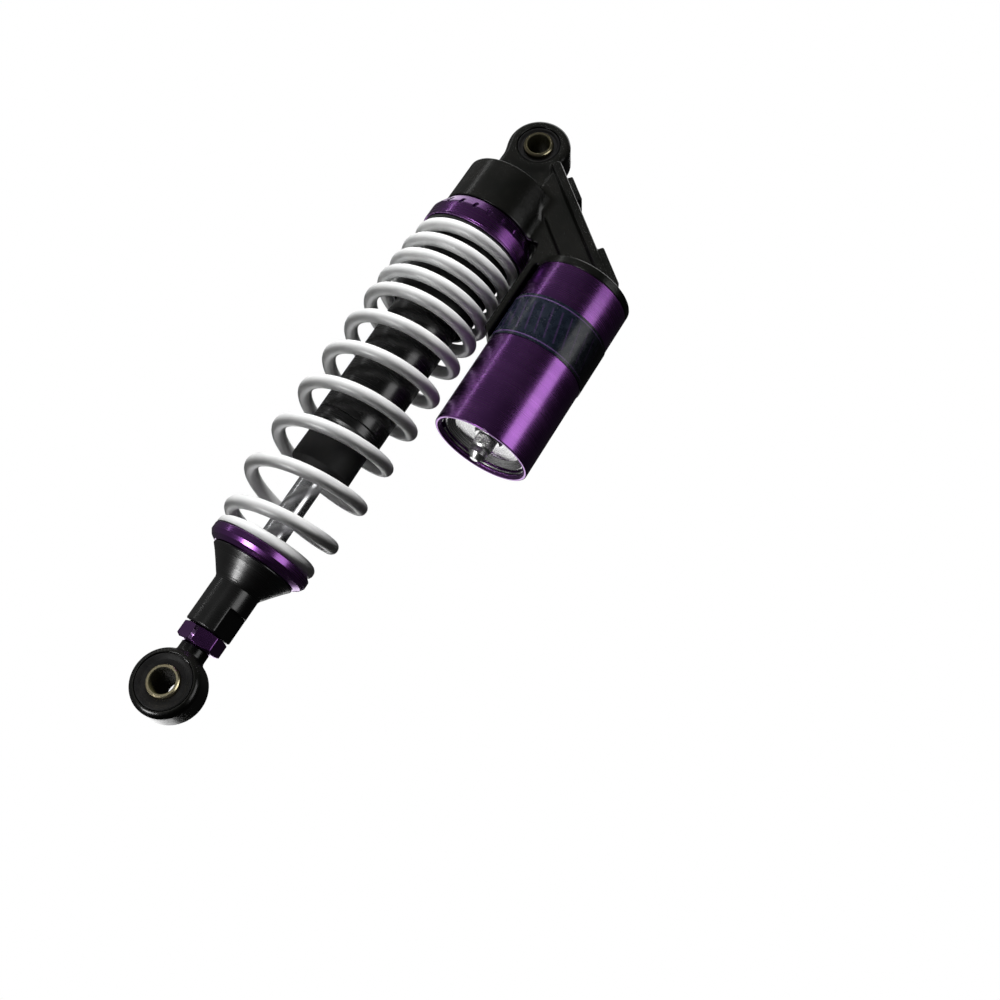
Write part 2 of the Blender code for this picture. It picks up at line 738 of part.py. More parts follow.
def rod_and_piston():
    """Rod with the stack that is nutted on its upper end: stop, shims, piston, shims, nut."""
    nut_height = 0.0070
    shims = 0.0024
    piston_foot = ROD_SHOULDER_AT + shims + 2 * GAP
    piston_top = piston_foot + PISTON_HEIGHT
    nut_foot = piston_top + shims + 2 * GAP
    rod_top = nut_foot + nut_height + 0.0015
    rod = [
        (0, up(rod_top)),
        (ROD_END_RADIUS - 0.0005, up(rod_top)),
        (ROD_END_RADIUS, up(rod_top - 0.0005)),
        (ROD_END_RADIUS, up(ROD_SHOULDER_AT)),
        (ROD_RADIUS, up(ROD_SHOULDER_AT)),
        (ROD_RADIUS, up(ROD_FOOT_AT + 0.0008)),
        (ROD_RADIUS - 0.0008, up(ROD_FOOT_AT)),
        (0, up(ROD_FOOT_AT)),
    ]
    turned("piston_rod", rod, "chrome", solid=True)
    stop_height = 0.0060
    stop_top = ROD_SHOULDER_AT - GAP
    stop_bore = ROD_RADIUS + GAP
    stop_foot = stop_top - stop_height
    ring("rebound_stop", 0.0098, stop_bore, up(stop_foot), up(stop_top), "black_rubber", steps=COARSE_STEPS)

    bore = ROD_END_RADIUS + GAP
    foot = ROD_SHOULDER_AT + GAP
    lower_stack = [
        (0.0112, up(foot + shims)),
        (0.0112, up(foot + shims / 2)),
        (0.0084, up(foot + shims / 2)),
        (0.0084, up(foot)),
        (bore, up(foot)),
        (bore, up(foot + shims)),
    ]
    turned("rebound_shims", lower_stack, "steel", steps=COARSE_STEPS)
    foot = piston_top + GAP
    upper_stack = [
        (0.0084, up(foot + shims)),
        (0.0084, up(foot + shims / 2)),
        (0.0112, up(foot + shims / 2)),
        (0.0112, up(foot)),
        (bore, up(foot)),
        (bore, up(foot + shims)),
    ]
    turned("compression_shims", upper_stack, "steel", steps=COARSE_STEPS)

    band_depth = 0.0012
    band_foot = piston_foot + 0.0030
    band_top = piston_top - 0.0030
    core = PISTON_RADIUS - 0.0003
    piston = [
        (core, up(piston_top)),
        (core, up(band_top)),
        (core - band_depth, up(band_top)),
        (core - band_depth, up(band_foot)),
        (core, up(band_foot)),
        (core, up(piston_foot)),
        (bore, up(piston_foot)),
        (bore, up(piston_top)),
    ]
    part = turned("piston", piston, "machined_aluminium")
    port_circle = 0.0088
    middle = up((piston_foot + piston_top) / 2)
    ports = [
        cylinder(f"port_{i}", 0.0013, 0.03, (port_circle * math.cos(a), port_circle * math.sin(a), middle), 10)
        for i, a in enumerate(around(PORT_COUNT))
    ]
    cut(part, *ports)
    band_inner = core - band_depth + GAP
    ring("piston_band", PISTON_RADIUS + 0.0002, band_inner, up(band_foot + GAP), up(band_top - GAP), "steel")

    corner = 0.0082
    nut = ring("piston_nut", corner, bore, up(nut_foot), up(nut_foot + nut_height), "steel", steps=COARSE_STEPS)
    hexagon = cylinder("piston_nut_hexagon", corner, 0.03, (0, 0, up(nut_foot)), 6)
    boolean(nut, hexagon, "INTERSECT")


def reservoir():
    """Tube of the reservoir, closed below by a cap with the gas valve, with a piston inside that
    parts the gas from the oil, and a foil band round it."""
    here = (RESERVOIR_X, 0, 0)
    inner = RESERVOIR_RADIUS - RESERVOIR_WALL
    groove = (0.1654, 0.1670)
    rim = 0.0008
    tube = [
        (RESERVOIR_RADIUS, up(RESERVOIR_TOP_AT)),
        (RESERVOIR_RADIUS, up(RESERVOIR_FOOT_AT + rim)),
        (RESERVOIR_RADIUS - rim, up(RESERVOIR_FOOT_AT)),
        (inner, up(RESERVOIR_FOOT_AT)),
        (inner, up(groove[0])),
        (inner + 0.0011, up(groove[0])),
        (inner + 0.0011, up(groove[1])),
        (inner, up(groove[1])),
        (inner, up(RESERVOIR_TOP_AT)),
    ]
    turned("reservoir_tube", tube, "purple_anodised", here, FINE_STEPS)
    band_inner = RESERVOIR_RADIUS + BAND_GAP
    band_outer = band_inner + BAND_THICKNESS
    band_foot, band_top = up(BAND_FOOT_AT), up(BAND_TOP_AT)
    ring("reservoir_band", band_outer, band_inner, band_foot, band_top, "dark_foil", here, FINE_STEPS)
    o_ring_radius = inner - GAP - O_RING_WIRE - 0.00005
    lid_ring = torus_outline(o_ring_radius, up(0.2535), O_RING_WIRE, 6)
    turned("reservoir_ring", lid_ring, "black_rubber", here, COARSE_STEPS)

    slide = inner - GAP
    foot, top = FLOATING_PISTON_AT, FLOATING_PISTON_AT + FLOATING_PISTON_HEIGHT
    ring_at = (foot + top) / 2
    floating = [
        (0, up(top)),
        (slide, up(top)),
        (slide, up(ring_at + 0.0013)),
        (slide - 0.0021, up(ring_at + 0.0013)),
        (slide - 0.0021, up(ring_at - 0.0013)),
        (slide, up(ring_at - 0.0013)),
        (slide, up(foot)),
        (slide - 0.0034, up(foot)),
        (slide - 0.0034, up(top - 0.0035)),
        (0, up(top - 0.0035)),
    ]
    turned("floating_piston", floating, "machined_aluminium", here, solid=True)
    piston_ring = torus_outline(o_ring_radius, up(ring_at), O_RING_WIRE, 6)
    turned("floating_piston_ring", piston_ring, "black_rubber", here, COARSE_STEPS)

    cap_foot = groove[1] + 0.0003
    valve_bore = VALVE_RADIUS + GAP
    boss_foot = 0.1696
    cap = [
        (inner - GAP, up(0.1780)),
        (inner - GAP, up(cap_foot + 0.0003)),
        (inner - 0.0006, up(cap_foot)),
        (0.0204, up(cap_foot)),
        (0.0172, up(0.1699)),
        (0.0074, up(0.1712)),
        (0.0066, up(boss_foot)),
        (valve_bore, up(boss_foot)),
        (valve_bore, up(0.1780)),
    ]
    turned("reservoir_end_cap", cap, "machined_aluminium", here, FINE_STEPS)
    clip_wire = 0.00055
    clip_level = up(sum(groove) / 2)
    clip = turned("end_cap_circlip", torus_outline(inner + 0.0001, clip_level, clip_wire, 6), "steel", here)
    gap_place = (RESERVOIR_X - inner, 0, clip_level)
    cut(clip, block("end_cap_circlip_opening", (0.0060, 0.0070, 0.0060), gap_place))

    stem = [
        (0, up(0.1815)),
        (VALVE_RADIUS + 0.0018, up(0.1815)),
        (VALVE_RADIUS + 0.0018, up(0.1783)),
        (VALVE_RADIUS, up(0.1783)),
        (VALVE_RADIUS, up(0.1622)),
        (VALVE_RADIUS - 0.0005, up(0.1617)),
        (0, up(0.1617)),
    ]
    turned("valve_stem", stem, "yellow_zinc", here, COARSE_STEPS, solid=True)
    cap_top = boss_foot - GAP
    tip_radius = 0.0043
    screw_cap = [
        (VALVE_CAP_RADIUS - 0.0004, up(cap_top)),
        (VALVE_CAP_RADIUS, up(cap_top - 0.0004)),
        (VALVE_CAP_RADIUS, up(0.1642)),
        (VALVE_CAP_RADIUS - 0.0006, up(0.1636)),
        (tip_radius, up(0.1634)),
        (tip_radius, up(0.1604)),
        (0.0020, up(0.1578)),
        (0, up(0.1578)),
        (0, up(0.1612)),
        (VALVE_RADIUS + GAP, up(0.1612)),
        (VALVE_RADIUS + GAP, up(cap_top)),
    ]
    turned("valve_cap", screw_cap, "machined_aluminium", here, COARSE_STEPS)


def main():
    head_casting()
    eye_fittings("upper", (0, 0, 0), UPPER_BUSH_RADIUS)
    preload_ring()
    spring_guide()
    coil_spring()
    damper_tube()
    rod_and_piston()
    spring_seat()
    lower_body()
    jam_nut()
    lower_eye()
    eye_fittings("lower", (0, 0, up(0)), LOWER_BUSH_RADIUS)
    reservoir()


main()
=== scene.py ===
"""Looks of a motorcycle's rear shock: fine surfaces, finishes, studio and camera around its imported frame.

Lengths in the shapes below are millimetres in the row frame, whose origin is the centre of the upper
eye, with Z up along the shock. Meshes are written in metres.
"""

import math

import bmesh
import bpy
import numpy as np
from mathutils import Matrix, Vector


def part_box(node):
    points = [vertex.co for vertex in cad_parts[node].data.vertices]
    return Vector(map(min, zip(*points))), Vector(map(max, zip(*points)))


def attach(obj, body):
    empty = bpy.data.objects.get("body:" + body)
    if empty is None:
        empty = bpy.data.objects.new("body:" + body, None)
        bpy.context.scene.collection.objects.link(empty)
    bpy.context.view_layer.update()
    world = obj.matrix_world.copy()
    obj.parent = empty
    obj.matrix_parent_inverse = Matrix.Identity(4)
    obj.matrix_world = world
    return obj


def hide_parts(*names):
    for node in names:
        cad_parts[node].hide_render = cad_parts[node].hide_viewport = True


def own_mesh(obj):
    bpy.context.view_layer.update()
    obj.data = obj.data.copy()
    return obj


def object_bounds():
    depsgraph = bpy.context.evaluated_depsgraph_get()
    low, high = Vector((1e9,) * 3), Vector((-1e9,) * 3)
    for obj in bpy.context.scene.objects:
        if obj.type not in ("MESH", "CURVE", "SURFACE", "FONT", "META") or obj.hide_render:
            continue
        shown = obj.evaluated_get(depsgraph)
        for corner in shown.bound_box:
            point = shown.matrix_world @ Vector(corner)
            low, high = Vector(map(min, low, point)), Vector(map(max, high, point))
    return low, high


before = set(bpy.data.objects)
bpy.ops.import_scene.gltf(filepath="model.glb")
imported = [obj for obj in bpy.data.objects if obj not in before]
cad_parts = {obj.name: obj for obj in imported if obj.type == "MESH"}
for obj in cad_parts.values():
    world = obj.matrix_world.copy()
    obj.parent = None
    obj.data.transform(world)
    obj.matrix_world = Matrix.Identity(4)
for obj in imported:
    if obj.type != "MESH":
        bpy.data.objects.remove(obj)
CAD_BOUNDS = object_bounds()
MM = 0.001


# ------------------------ places read from the frame


def extent(node):
    """Outer radius, foot and top of a node that is turned about a vertical axis."""
    low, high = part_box(node)
    return (high.x - low.x) / 2 / MM, low.z / MM, high.z / MM


def middle(node):
    low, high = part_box(node)
    return (low + high) / 2


def corners(node):
    """Lowest and highest corner of a node's box, in millimetres."""
    return [np.array(corner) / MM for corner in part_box(node)]


UPPER_EYE = middle("upper_bush")
LOWER_EYE = middle("lower_bush")
RESERVOIR_AXIS = Vector((middle("reservoir_tube").x, 0, 0))
RESERVOIR_X = RESERVOIR_AXIS.x / MM
EYE_TO_EYE = (UPPER_EYE.z - LOWER_EYE.z) / MM

# Radii of bores: of the sleeves for the bolts, of what sits on the damper tube, and of what sits
# on the rod or on the lower eye's stud.
BOLT_BORE, TUBE_BORE, ROD_BORE = 5.8, 17.55, 6.3


def up(height):
    """Z of a height above the centre of the lower eye."""
    return height - EYE_TO_EYE


# ------------------------ meshes


def add_object(name, data):
    made = bpy.data.objects.new(name, data)
    bpy.context.scene.collection.objects.link(made)
    return made


def put_in_scene(mesh, finish, body, node, location=(0, 0, 0), along_y=False):
    """A piece named like its mesh, which stands for a CAD node and moves with its body."""
    mesh.materials.append(finish)
    piece = add_object(mesh.name, mesh)
    piece.location = location
    if along_y:
        piece.rotation_euler = (math.radians(90), 0, 0)
    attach(piece, body)
    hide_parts(node)
    return piece


def mesh_of(name, points, faces, normals=None):
    """A smooth mesh from points in millimetres, with exact normals where they are known."""
    mesh = bpy.data.meshes.new(name)
    faces = [list(map(int, face)) for face in faces]
    mesh.from_pydata((np.asarray(points) * MM).tolist(), [], faces, shade_flat=False)
    mesh.validate()
    if normals is not None:
        mesh.normals_split_custom_set_from_vertices(np.asarray(normals).tolist())
    return mesh


def unit(vector):
    return vector / max(np.linalg.norm(vector), 1e-12)


def rounded(outline, closed, round_default=0.15):
    """Points and outward normals of an outline of (radius, z) or (radius, z, round) corners, with
    each corner rounded by an arc. It runs down the outer side and, if closed, back up the bore."""
    arc_step, straight = 12, math.radians(2)
    places = [np.array(c[:2], float) for c in outline]
    rounds = [c[2] if len(c) > 2 else round_default for c in outline]
    count = len(places)
    points, normals = [], []
    for i, here in enumerate(places):
        if not closed and i in (0, count - 1):
            points.append(here)
            normals.append(np.array((0.0, 1.0 if i == 0 else -1.0)))
            continue
        before, after = places[i - 1], places[(i + 1) % count]
        back, ahead = unit(before - here), unit(after - here)
        n0, n1 = np.array((back[1], -back[0])), np.array((-ahead[1], ahead[0]))
        turn = math.acos(float(np.clip(n0 @ n1, -1, 1)))
        if turn < straight:
            points.append(here)
            normals.append(unit(n0 + n1))
            continue
        room = 0.49 * min(np.linalg.norm(before - here), np.linalg.norm(after - here))
        radius = min(rounds[i], room / math.tan(turn / 2))
        start = here + back * radius * math.tan(turn / 2)
        bulge = 1.0 if n1 @ back < 0 else -1.0
        centre = start - bulge * n0 * radius
        steps = max(2, math.ceil(math.degrees(turn) / arc_step))
        for k in range(steps + 1):
            share = k / steps
            normal = unit(n0 * math.sin((1 - share) * turn) + n1 * math.sin(share * turn))
            points.append(centre + bulge * normal * radius)
            normals.append(normal)
    return np.array(points), np.array(normals)


def turned_mesh(name, outline, solid=False, steps=160, relief=None, gap=None):
    """A turned shape. relief(angle, z) is a height added along the surface's normal, and gap is
    the part of a turn, in radians about the -X side, that an open ring leaves out."""
    points, normals = rounded(outline, not solid)
    opening = (gap or 0.0) / 2
    angles = np.linspace(-math.pi + opening, math.pi - opening, steps + 1)
    if gap is None:
        angles = angles[:-1]
    cos, sin = np.cos(angles), np.sin(angles)
    rows, radial = len(points), np.ones((len(points), len(angles)))
    r, z = points[:, :1] * radial, points[:, 1:] * radial
    if relief is not None:
        height = relief(angles[None, :] * radial, z)
        r, z = r + normals[:, :1] * height, z + normals[:, 1:] * height
    grid = np.stack((r * cos, r * sin, z), -1)
    grid_normals = np.stack((normals[:, :1] * cos, normals[:, :1] * sin, normals[:, 1:] * radial), -1)
    index = np.arange(rows * len(angles)).reshape(rows, -1)
    if solid:
        index[0], index[-1] = index[0, 0], index[-1, 0]
    across = np.hstack((index, index[:, :1])) if gap is None else index
    along = across if solid else np.vstack((across, across[:1]))
    quads = np.stack((along[:-1, :-1], along[1:, :-1], along[1:, 1:], along[:-1, 1:]), -1).reshape(-1, 4)
    faces = [list(dict.fromkeys(quad)) for quad in quads.tolist()]
    if gap is not None:
        faces += [across[::-1, 0].tolist(), across[:, -1].tolist()]
    used = np.unique(np.concatenate([np.array(f) for f in faces]))
    renumber = {old: new for new, old in enumerate(used.tolist())}
    faces = [[renumber[v] for v in f] for f in faces]
    exact = None if relief is not None or gap is not None else grid_normals.reshape(-1, 3)[used]
    return mesh_of(name, grid.reshape(-1, 3)[used], faces, exact)


def put_turned(name, outline, finish, body, node, solid=False):
    """A turned piece about the shock's own axis."""
    put_in_scene(turned_mesh(name, outline, solid), finish, body, node)


# ------------------------ fields of distance


class Profile:
    """Signed distance to a rounded outline, kept on a fine grid so that it is quick to read."""

    STEP = 0.14
    MARGIN = 5.0
    ROUND = 0.4

    def __init__(self, *outline, mirrored=False):
        if mirrored:
            outline = [*outline, *[(-c[0], *c[1:]) for c in reversed(outline) if c[0] > 0]]
        points, _ = rounded(outline, True, self.ROUND)
        self.low = points.min(0) - self.MARGIN
        self.count = np.ceil((points.max(0) + self.MARGIN - self.low) / self.STEP).astype(int) + 1
        axes = [self.low[i] + np.arange(self.count[i]) * self.STEP for i in (0, 1)]
        at = np.stack(np.meshgrid(*axes, indexing="ij"), -1).reshape(-1, 2)
        nearest = np.full(len(at), 1e18)
        inside = np.zeros(len(at), bool)
        for a, b in zip(points, np.roll(points, -1, 0)):
            run, off = b - a, at - a
            share = np.clip(off @ run / max(run @ run, 1e-12), 0, 1)
            nearest = np.minimum(nearest, ((off - share[:, None] * run) ** 2).sum(1))
            crosses = (a[1] > at[:, 1]) != (b[1] > at[:, 1])
            if a[1] != b[1]:
                inside ^= crosses & (at[:, 0] < a[0] + (at[:, 1] - a[1]) * run[0] / run[1])
        self.table = (np.sqrt(nearest) * np.where(inside, -1, 1)).reshape(self.count)

    def __call__(self, x, z):
        at = [(x - self.low[0]) / self.STEP, (z - self.low[1]) / self.STEP]
        kept = [np.clip(a, 0, n - 1.001) for a, n in zip(at, self.count)]
        beyond = np.hypot(at[0] - kept[0], at[1] - kept[1]) * self.STEP
        i, j = kept[0].astype(int), kept[1].astype(int)
        u, v = kept[0] - i, kept[1] - j
        t = self.table
        low = t[i, j] * (1 - u) + t[i + 1, j] * u
        high = t[i, j + 1] * (1 - u) + t[i + 1, j + 1] * u
        return low * (1 - v) + high * v + beyond


def slab(value, low, high):
    """Distance to the space between two levels, below zero inside it."""
    return np.abs(value - (low + high) / 2) - (high - low) / 2


def round_all(*gaps, radius):
    """Distance to what is inside all of these gaps at once, with edges of this radius."""
    moved = np.stack(gaps) + radius
    return np.minimum(moved.max(0), 0) + np.sqrt((np.maximum(moved, 0) ** 2).sum(0)) - radius


def smooth_join(a, b, fillet):
    share = np.clip(0.5 + 0.5 * (b - a) / fillet, 0, 1)
    return b + (a - b) * share - fillet * share * (1 - share)


def smooth_cut(a, b, fillet):
    return -smooth_join(-a, b, fillet)


def surface_mesh(name, field, low, high, step):
    """Mesh of the zero level of a field over a box, by surface nets on the blocks that it crosses."""
    margin, block, polish_rounds = 1.5 * step, 4, 2
    low = np.array(low, float) - margin
    blocks = np.ceil((np.array(high) + margin - low) / (step * block)).astype(int)
    at = np.stack(np.meshgrid(*[np.arange(n) for n in blocks], indexing="ij"), -1).reshape(-1, 3)
    near = np.abs(field(low + (at + 0.5) * block * step)) < block * step
    at = at[near]
    corner = np.stack(np.meshgrid(*[np.arange(block + 1)] * 3, indexing="ij"), -1)
    ids = at[:, None, None, None] * block + corner
    value = field((low + ids.reshape(-1, 3) * step)).reshape(ids.shape[:-1])
    size = blocks * block + 1
    number = (ids[..., 0] * size[1] + ids[..., 1]) * size[2] + ids[..., 2]
    stride = (size[1] * size[2], size[2], 1)
    inside = value < 0

    def part(array, shift):
        window = tuple(slice(s, s + block) for s in shift)
        return array[(slice(None), *window)]

    shifts = [(i, j, k) for i in (0, 1) for j in (0, 1) for k in (0, 1)]
    signs = np.stack([part(inside, s) for s in shifts], -1)
    active = signs.any(-1) & ~signs.all(-1)
    cell_number = part(number, (0, 0, 0))[active]
    cell_at = part(ids, (0, 0, 0))[active]
    values = {s: part(value, s)[active] for s in shifts}
    total, found = np.zeros((len(cell_at), 3)), np.zeros(len(cell_at))
    for axis in range(3):
        for s in shifts:
            if s[axis]:
                continue
            t = tuple(1 if i == axis else s[i] for i in range(3))
            a, b = values[s], values[t]
            crosses = (a < 0) != (b < 0)
            share = np.where(crosses, a / np.where(crosses, a - b, 1), 0)
            spot = np.tile(np.array(s, float), (len(a), 1))
            spot[:, axis] += share
            total += spot * crosses[:, None]
            found += crosses
    points = low + (cell_at + total / found[:, None]) * step
    order = np.argsort(cell_number)
    sorted_numbers = cell_number[order]

    def vertex(numbers):
        return order[np.searchsorted(sorted_numbers, numbers)]

    quads = []
    for axis in range(3):
        step_one = tuple(1 if i == axis else 0 for i in range(3))
        a, b = values[(0, 0, 0)], values[step_one]
        crosses = (a < 0) != (b < 0)
        base = cell_number[crosses]
        one, two = stride[(axis + 1) % 3], stride[(axis + 2) % 3]
        quad = np.stack([vertex(base - d) for d in (one + two, two, 0, one)], -1)
        flip = a[crosses] >= 0
        quad[flip] = quad[flip][:, ::-1]
        quads.append(quad)

    def slope(p):
        reach = 0.02
        gradient = np.empty_like(p)
        for axis in range(3):
            shift = np.zeros(3)
            shift[axis] = reach
            gradient[:, axis] = (field(p + shift) - field(p - shift)) / (2 * reach)
        return gradient

    for _ in range(polish_rounds):
        gradient = slope(points)
        move = gradient * (field(points) / np.maximum((gradient**2).sum(1), 0.2))[:, None]
        points = points - np.clip(move, -0.5 * step, 0.5 * step)
    normals = slope(points)
    normals /= np.maximum(np.linalg.norm(normals, axis=1), 1e-9)[:, None]
    return mesh_of(name, points, np.concatenate(quads), normals)


# ------------------------ finishes


class Finish:
    """A material and its node tree, with short ways to add the nodes that the finishes share."""

    def __init__(self, name, **sockets):
        self.material = bpy.data.materials.new(name)
        self.material.use_nodes = True
        self.tree = self.material.node_tree
        self.shader = self.tree.nodes["Principled BSDF"]
        for socket, value in sockets.items():
            self.put(value, self.shader.inputs[socket.replace("_", " ").title().replace("Ior", "IOR")])
        self.place = self.node("TexCoord").outputs["Object"]
        self.normal = None

    def put(self, value, socket):
        if isinstance(value, bpy.types.NodeSocket):
            self.tree.links.new(value, socket)
        elif isinstance(value, tuple) and len(value) == 3 and socket.type == "RGBA":
            socket.default_value = (*value, 1.0)
        else:
            socket.default_value = value

    def node(self, kind, settings=(), **inputs):
        made = self.tree.nodes.new("ShaderNode" + kind)
        for key, value in dict(settings).items():
            setattr(made, key, value)
        for key, value in inputs.items():
            self.put(value, made.inputs[key.replace("_", " ").title()])
        return made

    def math(self, operation, *values):
        made = self.tree.nodes.new("ShaderNodeMath")
        made.operation = operation
        for value, socket in zip(values, made.inputs):
            self.put(value, socket)
        return made.outputs[0]

    def noise(self, scale, detail=2.0, roughness=0.5, vector=None):
        """Noise with this many features to a metre."""
        place = self.place if vector is None else vector
        made = self.node("TexNoise", Vector=place, Scale=scale, Detail=detail, Roughness=roughness)
        return made.outputs["Fac"]

    def remap(self, value, low, high, to_low, to_high):
        made = self.tree.nodes.new("ShaderNodeMapRange")
        for item, socket in zip((value, low, high, to_low, to_high), made.inputs):
            self.put(item, socket)
        return made.outputs[0]

    def mix(self, share, a, b):
        made = self.tree.nodes.new("ShaderNodeMix")
        made.data_type = "RGBA"
        self.put(share, made.inputs[0])
        self.put(a, made.inputs[6])
        self.put(b, made.inputs[7])
        return made.outputs[2]

    def blend(self, value, low, high, a, b):
        """Colour a where the value is low, colour b where it is high."""
        return self.mix(self.remap(value, low, high, 0.0, 1.0), a, b)

    def axial(self):
        """Distance from the turning axis, and the place along it."""
        x, y, z = self.node("SeparateXYZ", Vector=self.place).outputs
        squares = self.math("ADD", self.math("MULTIPLY", x, x), self.math("MULTIPLY", y, y))
        return self.math("SQRT", squares), z

    def lathe_place(self):
        """A place that is the same all round a turned piece."""
        radius, z = self.axial()
        return self.node("CombineXYZ", X=radius, Y=z).outputs[0]

    def bump(self, height, millimetres, strength=1.0):
        made = self.node("Bump", Height=height, Distance=millimetres * MM, Strength=strength)
        if self.normal is not None:
            self.put(self.normal, made.inputs["Normal"])
        self.normal = made.outputs[0]
        self.put(self.normal, self.shader.inputs["Normal"])

    def edges(self, low, high):
        """0 on flat faces, rising to 1 on outer edges."""
        geometry = self.node("NewGeometry")
        return self.remap(geometry.outputs["Pointiness"], low, high, 0.0, 1.0)

    def colour(self, value):
        self.put(value, self.shader.inputs["Base Color"])

    def rough(self, value):
        self.put(value, self.shader.inputs["Roughness"])

    def rough_from(self, one, two, low, high):
        """Roughness between these two, from the sum of two noises."""
        self.rough(self.remap(self.math("ADD", one, two), 0.7, 1.3, low, high))


def cast_black():
    """Gloss black enamel over a cast or forged surface, with a soft orange peel."""
    f = Finish("cast_black_enamel", coat_weight=0.10, coat_roughness=0.16, specular_ior_level=0.42)
    patches = f.noise(55.0, 4.0, 0.6)
    grain = f.noise(900.0, 2.0, 0.5)
    colour = f.blend(patches, 0.35, 0.7, (0.0030, 0.0033, 0.0028), (0.0062, 0.0060, 0.0052))
    # Outer edges lighter: partly worn enamel, partly a painted highlight for the glints on the rounded
    # edges.
    colour = f.mix(f.edges(0.53, 0.61), colour, (0.018, 0.018, 0.016))
    f.colour(colour)
    f.rough_from(patches, grain, 0.18, 0.28)
    f.bump(f.noise(240.0, 3.0, 0.55), 0.05, 0.8)
    f.bump(grain, 0.040, 0.8)
    return f.material


def turned_black():
    """Satin black on a turned piece, with the tool's faint rings under it."""
    f = Finish("turned_black_anodised", specular_ior_level=0.8)
    lines = f.noise(2600.0, 2.0, 0.5, f.lathe_place())
    patches = f.noise(60.0, 4.0, 0.6)
    f.colour(f.blend(patches, 0.3, 0.7, (0.0030, 0.0033, 0.0031), (0.0060, 0.0060, 0.0060)))
    f.rough_from(lines, patches, 0.22, 0.32)
    f.bump(lines, 0.006, 0.8)
    f.bump(f.noise(700.0, 2.0), 0.010, 0.6)
    return f.material


def purple_anodised():
    """Purple dye in the oxide of turned aluminium: a metal's shine, tinted, over fine rings."""
    f = Finish("purple_anodised", metallic=1.0, coat_weight=0.35, coat_roughness=0.10)
    lathe = f.lathe_place()
    lines = f.noise(3000.0, 3.0, 0.6, lathe)
    broad = f.noise(260.0, 3.0, 0.55, lathe)
    patches = f.noise(45.0, 5.0, 0.6)
    colour = f.blend(patches, 0.3, 0.7, (0.21, 0.064, 0.30), (0.30, 0.105, 0.40))
    colour = f.mix(f.remap(broad, 0.35, 0.75, 0.0, 0.45), colour, (0.18, 0.054, 0.26))
    # Outer edges painted a pale lavender: a painted highlight for the glints on the turned edges.
    colour = f.mix(f.edges(0.53, 0.62), colour, (0.52, 0.36, 0.60))
    f.colour(colour)
    f.rough_from(lines, patches, 0.20, 0.32)
    f.bump(lines, 0.006, 0.9)
    f.bump(f.noise(520.0, 2.0), 0.010, 0.6)
    return f.material


def silver_paint():
    """Silver paint on the spring's drawn wire, with fine flake and faint clouds."""
    f = Finish("silver_spring_paint", metallic=0.15, coat_weight=0.2, coat_roughness=0.30)
    flake = f.node("TexVoronoi", Vector=f.place, Scale=4200.0).outputs["Distance"]
    patches = f.noise(70.0, 5.0, 0.65)
    colour = f.blend(patches, 0.3, 0.7, (0.66, 0.67, 0.67), (0.80, 0.80, 0.79))
    colour = f.mix(f.remap(flake, 0.1, 0.7, 0.0, 0.3), colour, (0.82, 0.82, 0.82))
    f.colour(colour)
    f.rough(f.remap(patches, 0.3, 0.7, 0.38, 0.50))
    f.bump(flake, 0.012, 0.5)
    f.bump(f.noise(380.0, 3.0), 0.030, 0.6)
    return f.material


def chrome():
    """Hard chrome, ground along and round, with hair-fine wear lines along the stroke."""
    f = Finish("hard_chrome", metallic=1.0)
    x, y, z = f.node("SeparateXYZ", Vector=f.place).outputs
    along = f.node("CombineXYZ", X=x, Y=y, Z=f.math("MULTIPLY", z, 0.02)).outputs[0]
    scratches = f.noise(5200.0, 2.0, 0.6, along)
    rings = f.noise(2200.0, 2.0, 0.5, f.lathe_place())
    f.colour(f.blend(rings, 0.3, 0.7, (0.74, 0.75, 0.77), (0.84, 0.84, 0.85)))
    f.rough(f.remap(f.math("ADD", scratches, rings), 0.8, 1.3, 0.18, 0.28))
    f.bump(rings, 0.0015, 0.6)
    f.bump(scratches, 0.0012, 0.5)
    return f.material


def rubber():
    f = Finish("black_rubber_bloom", specular_ior_level=0.35)
    bloom = f.noise(120.0, 5.0, 0.65)
    grain = f.noise(2400.0, 2.0)
    f.colour(f.blend(bloom, 0.35, 0.75, (0.005, 0.005, 0.0055), (0.013, 0.0125, 0.012)))
    f.rough(f.remap(bloom, 0.3, 0.7, 0.50, 0.72))
    f.bump(grain, 0.016, 0.8)
    f.bump(f.noise(300.0, 3.0), 0.05, 0.6)
    return f.material


def plastic():
    f = Finish("black_plastic_moulded", specular_ior_level=0.45)
    grain = f.noise(1700.0, 3.0, 0.6)
    f.colour(f.mix(f.noise(90.0, 3.0), (0.008, 0.008, 0.008), (0.018, 0.018, 0.018)))
    f.rough(f.remap(grain, 0.3, 0.7, 0.38, 0.52))
    f.bump(grain, 0.014, 0.8)
    return f.material


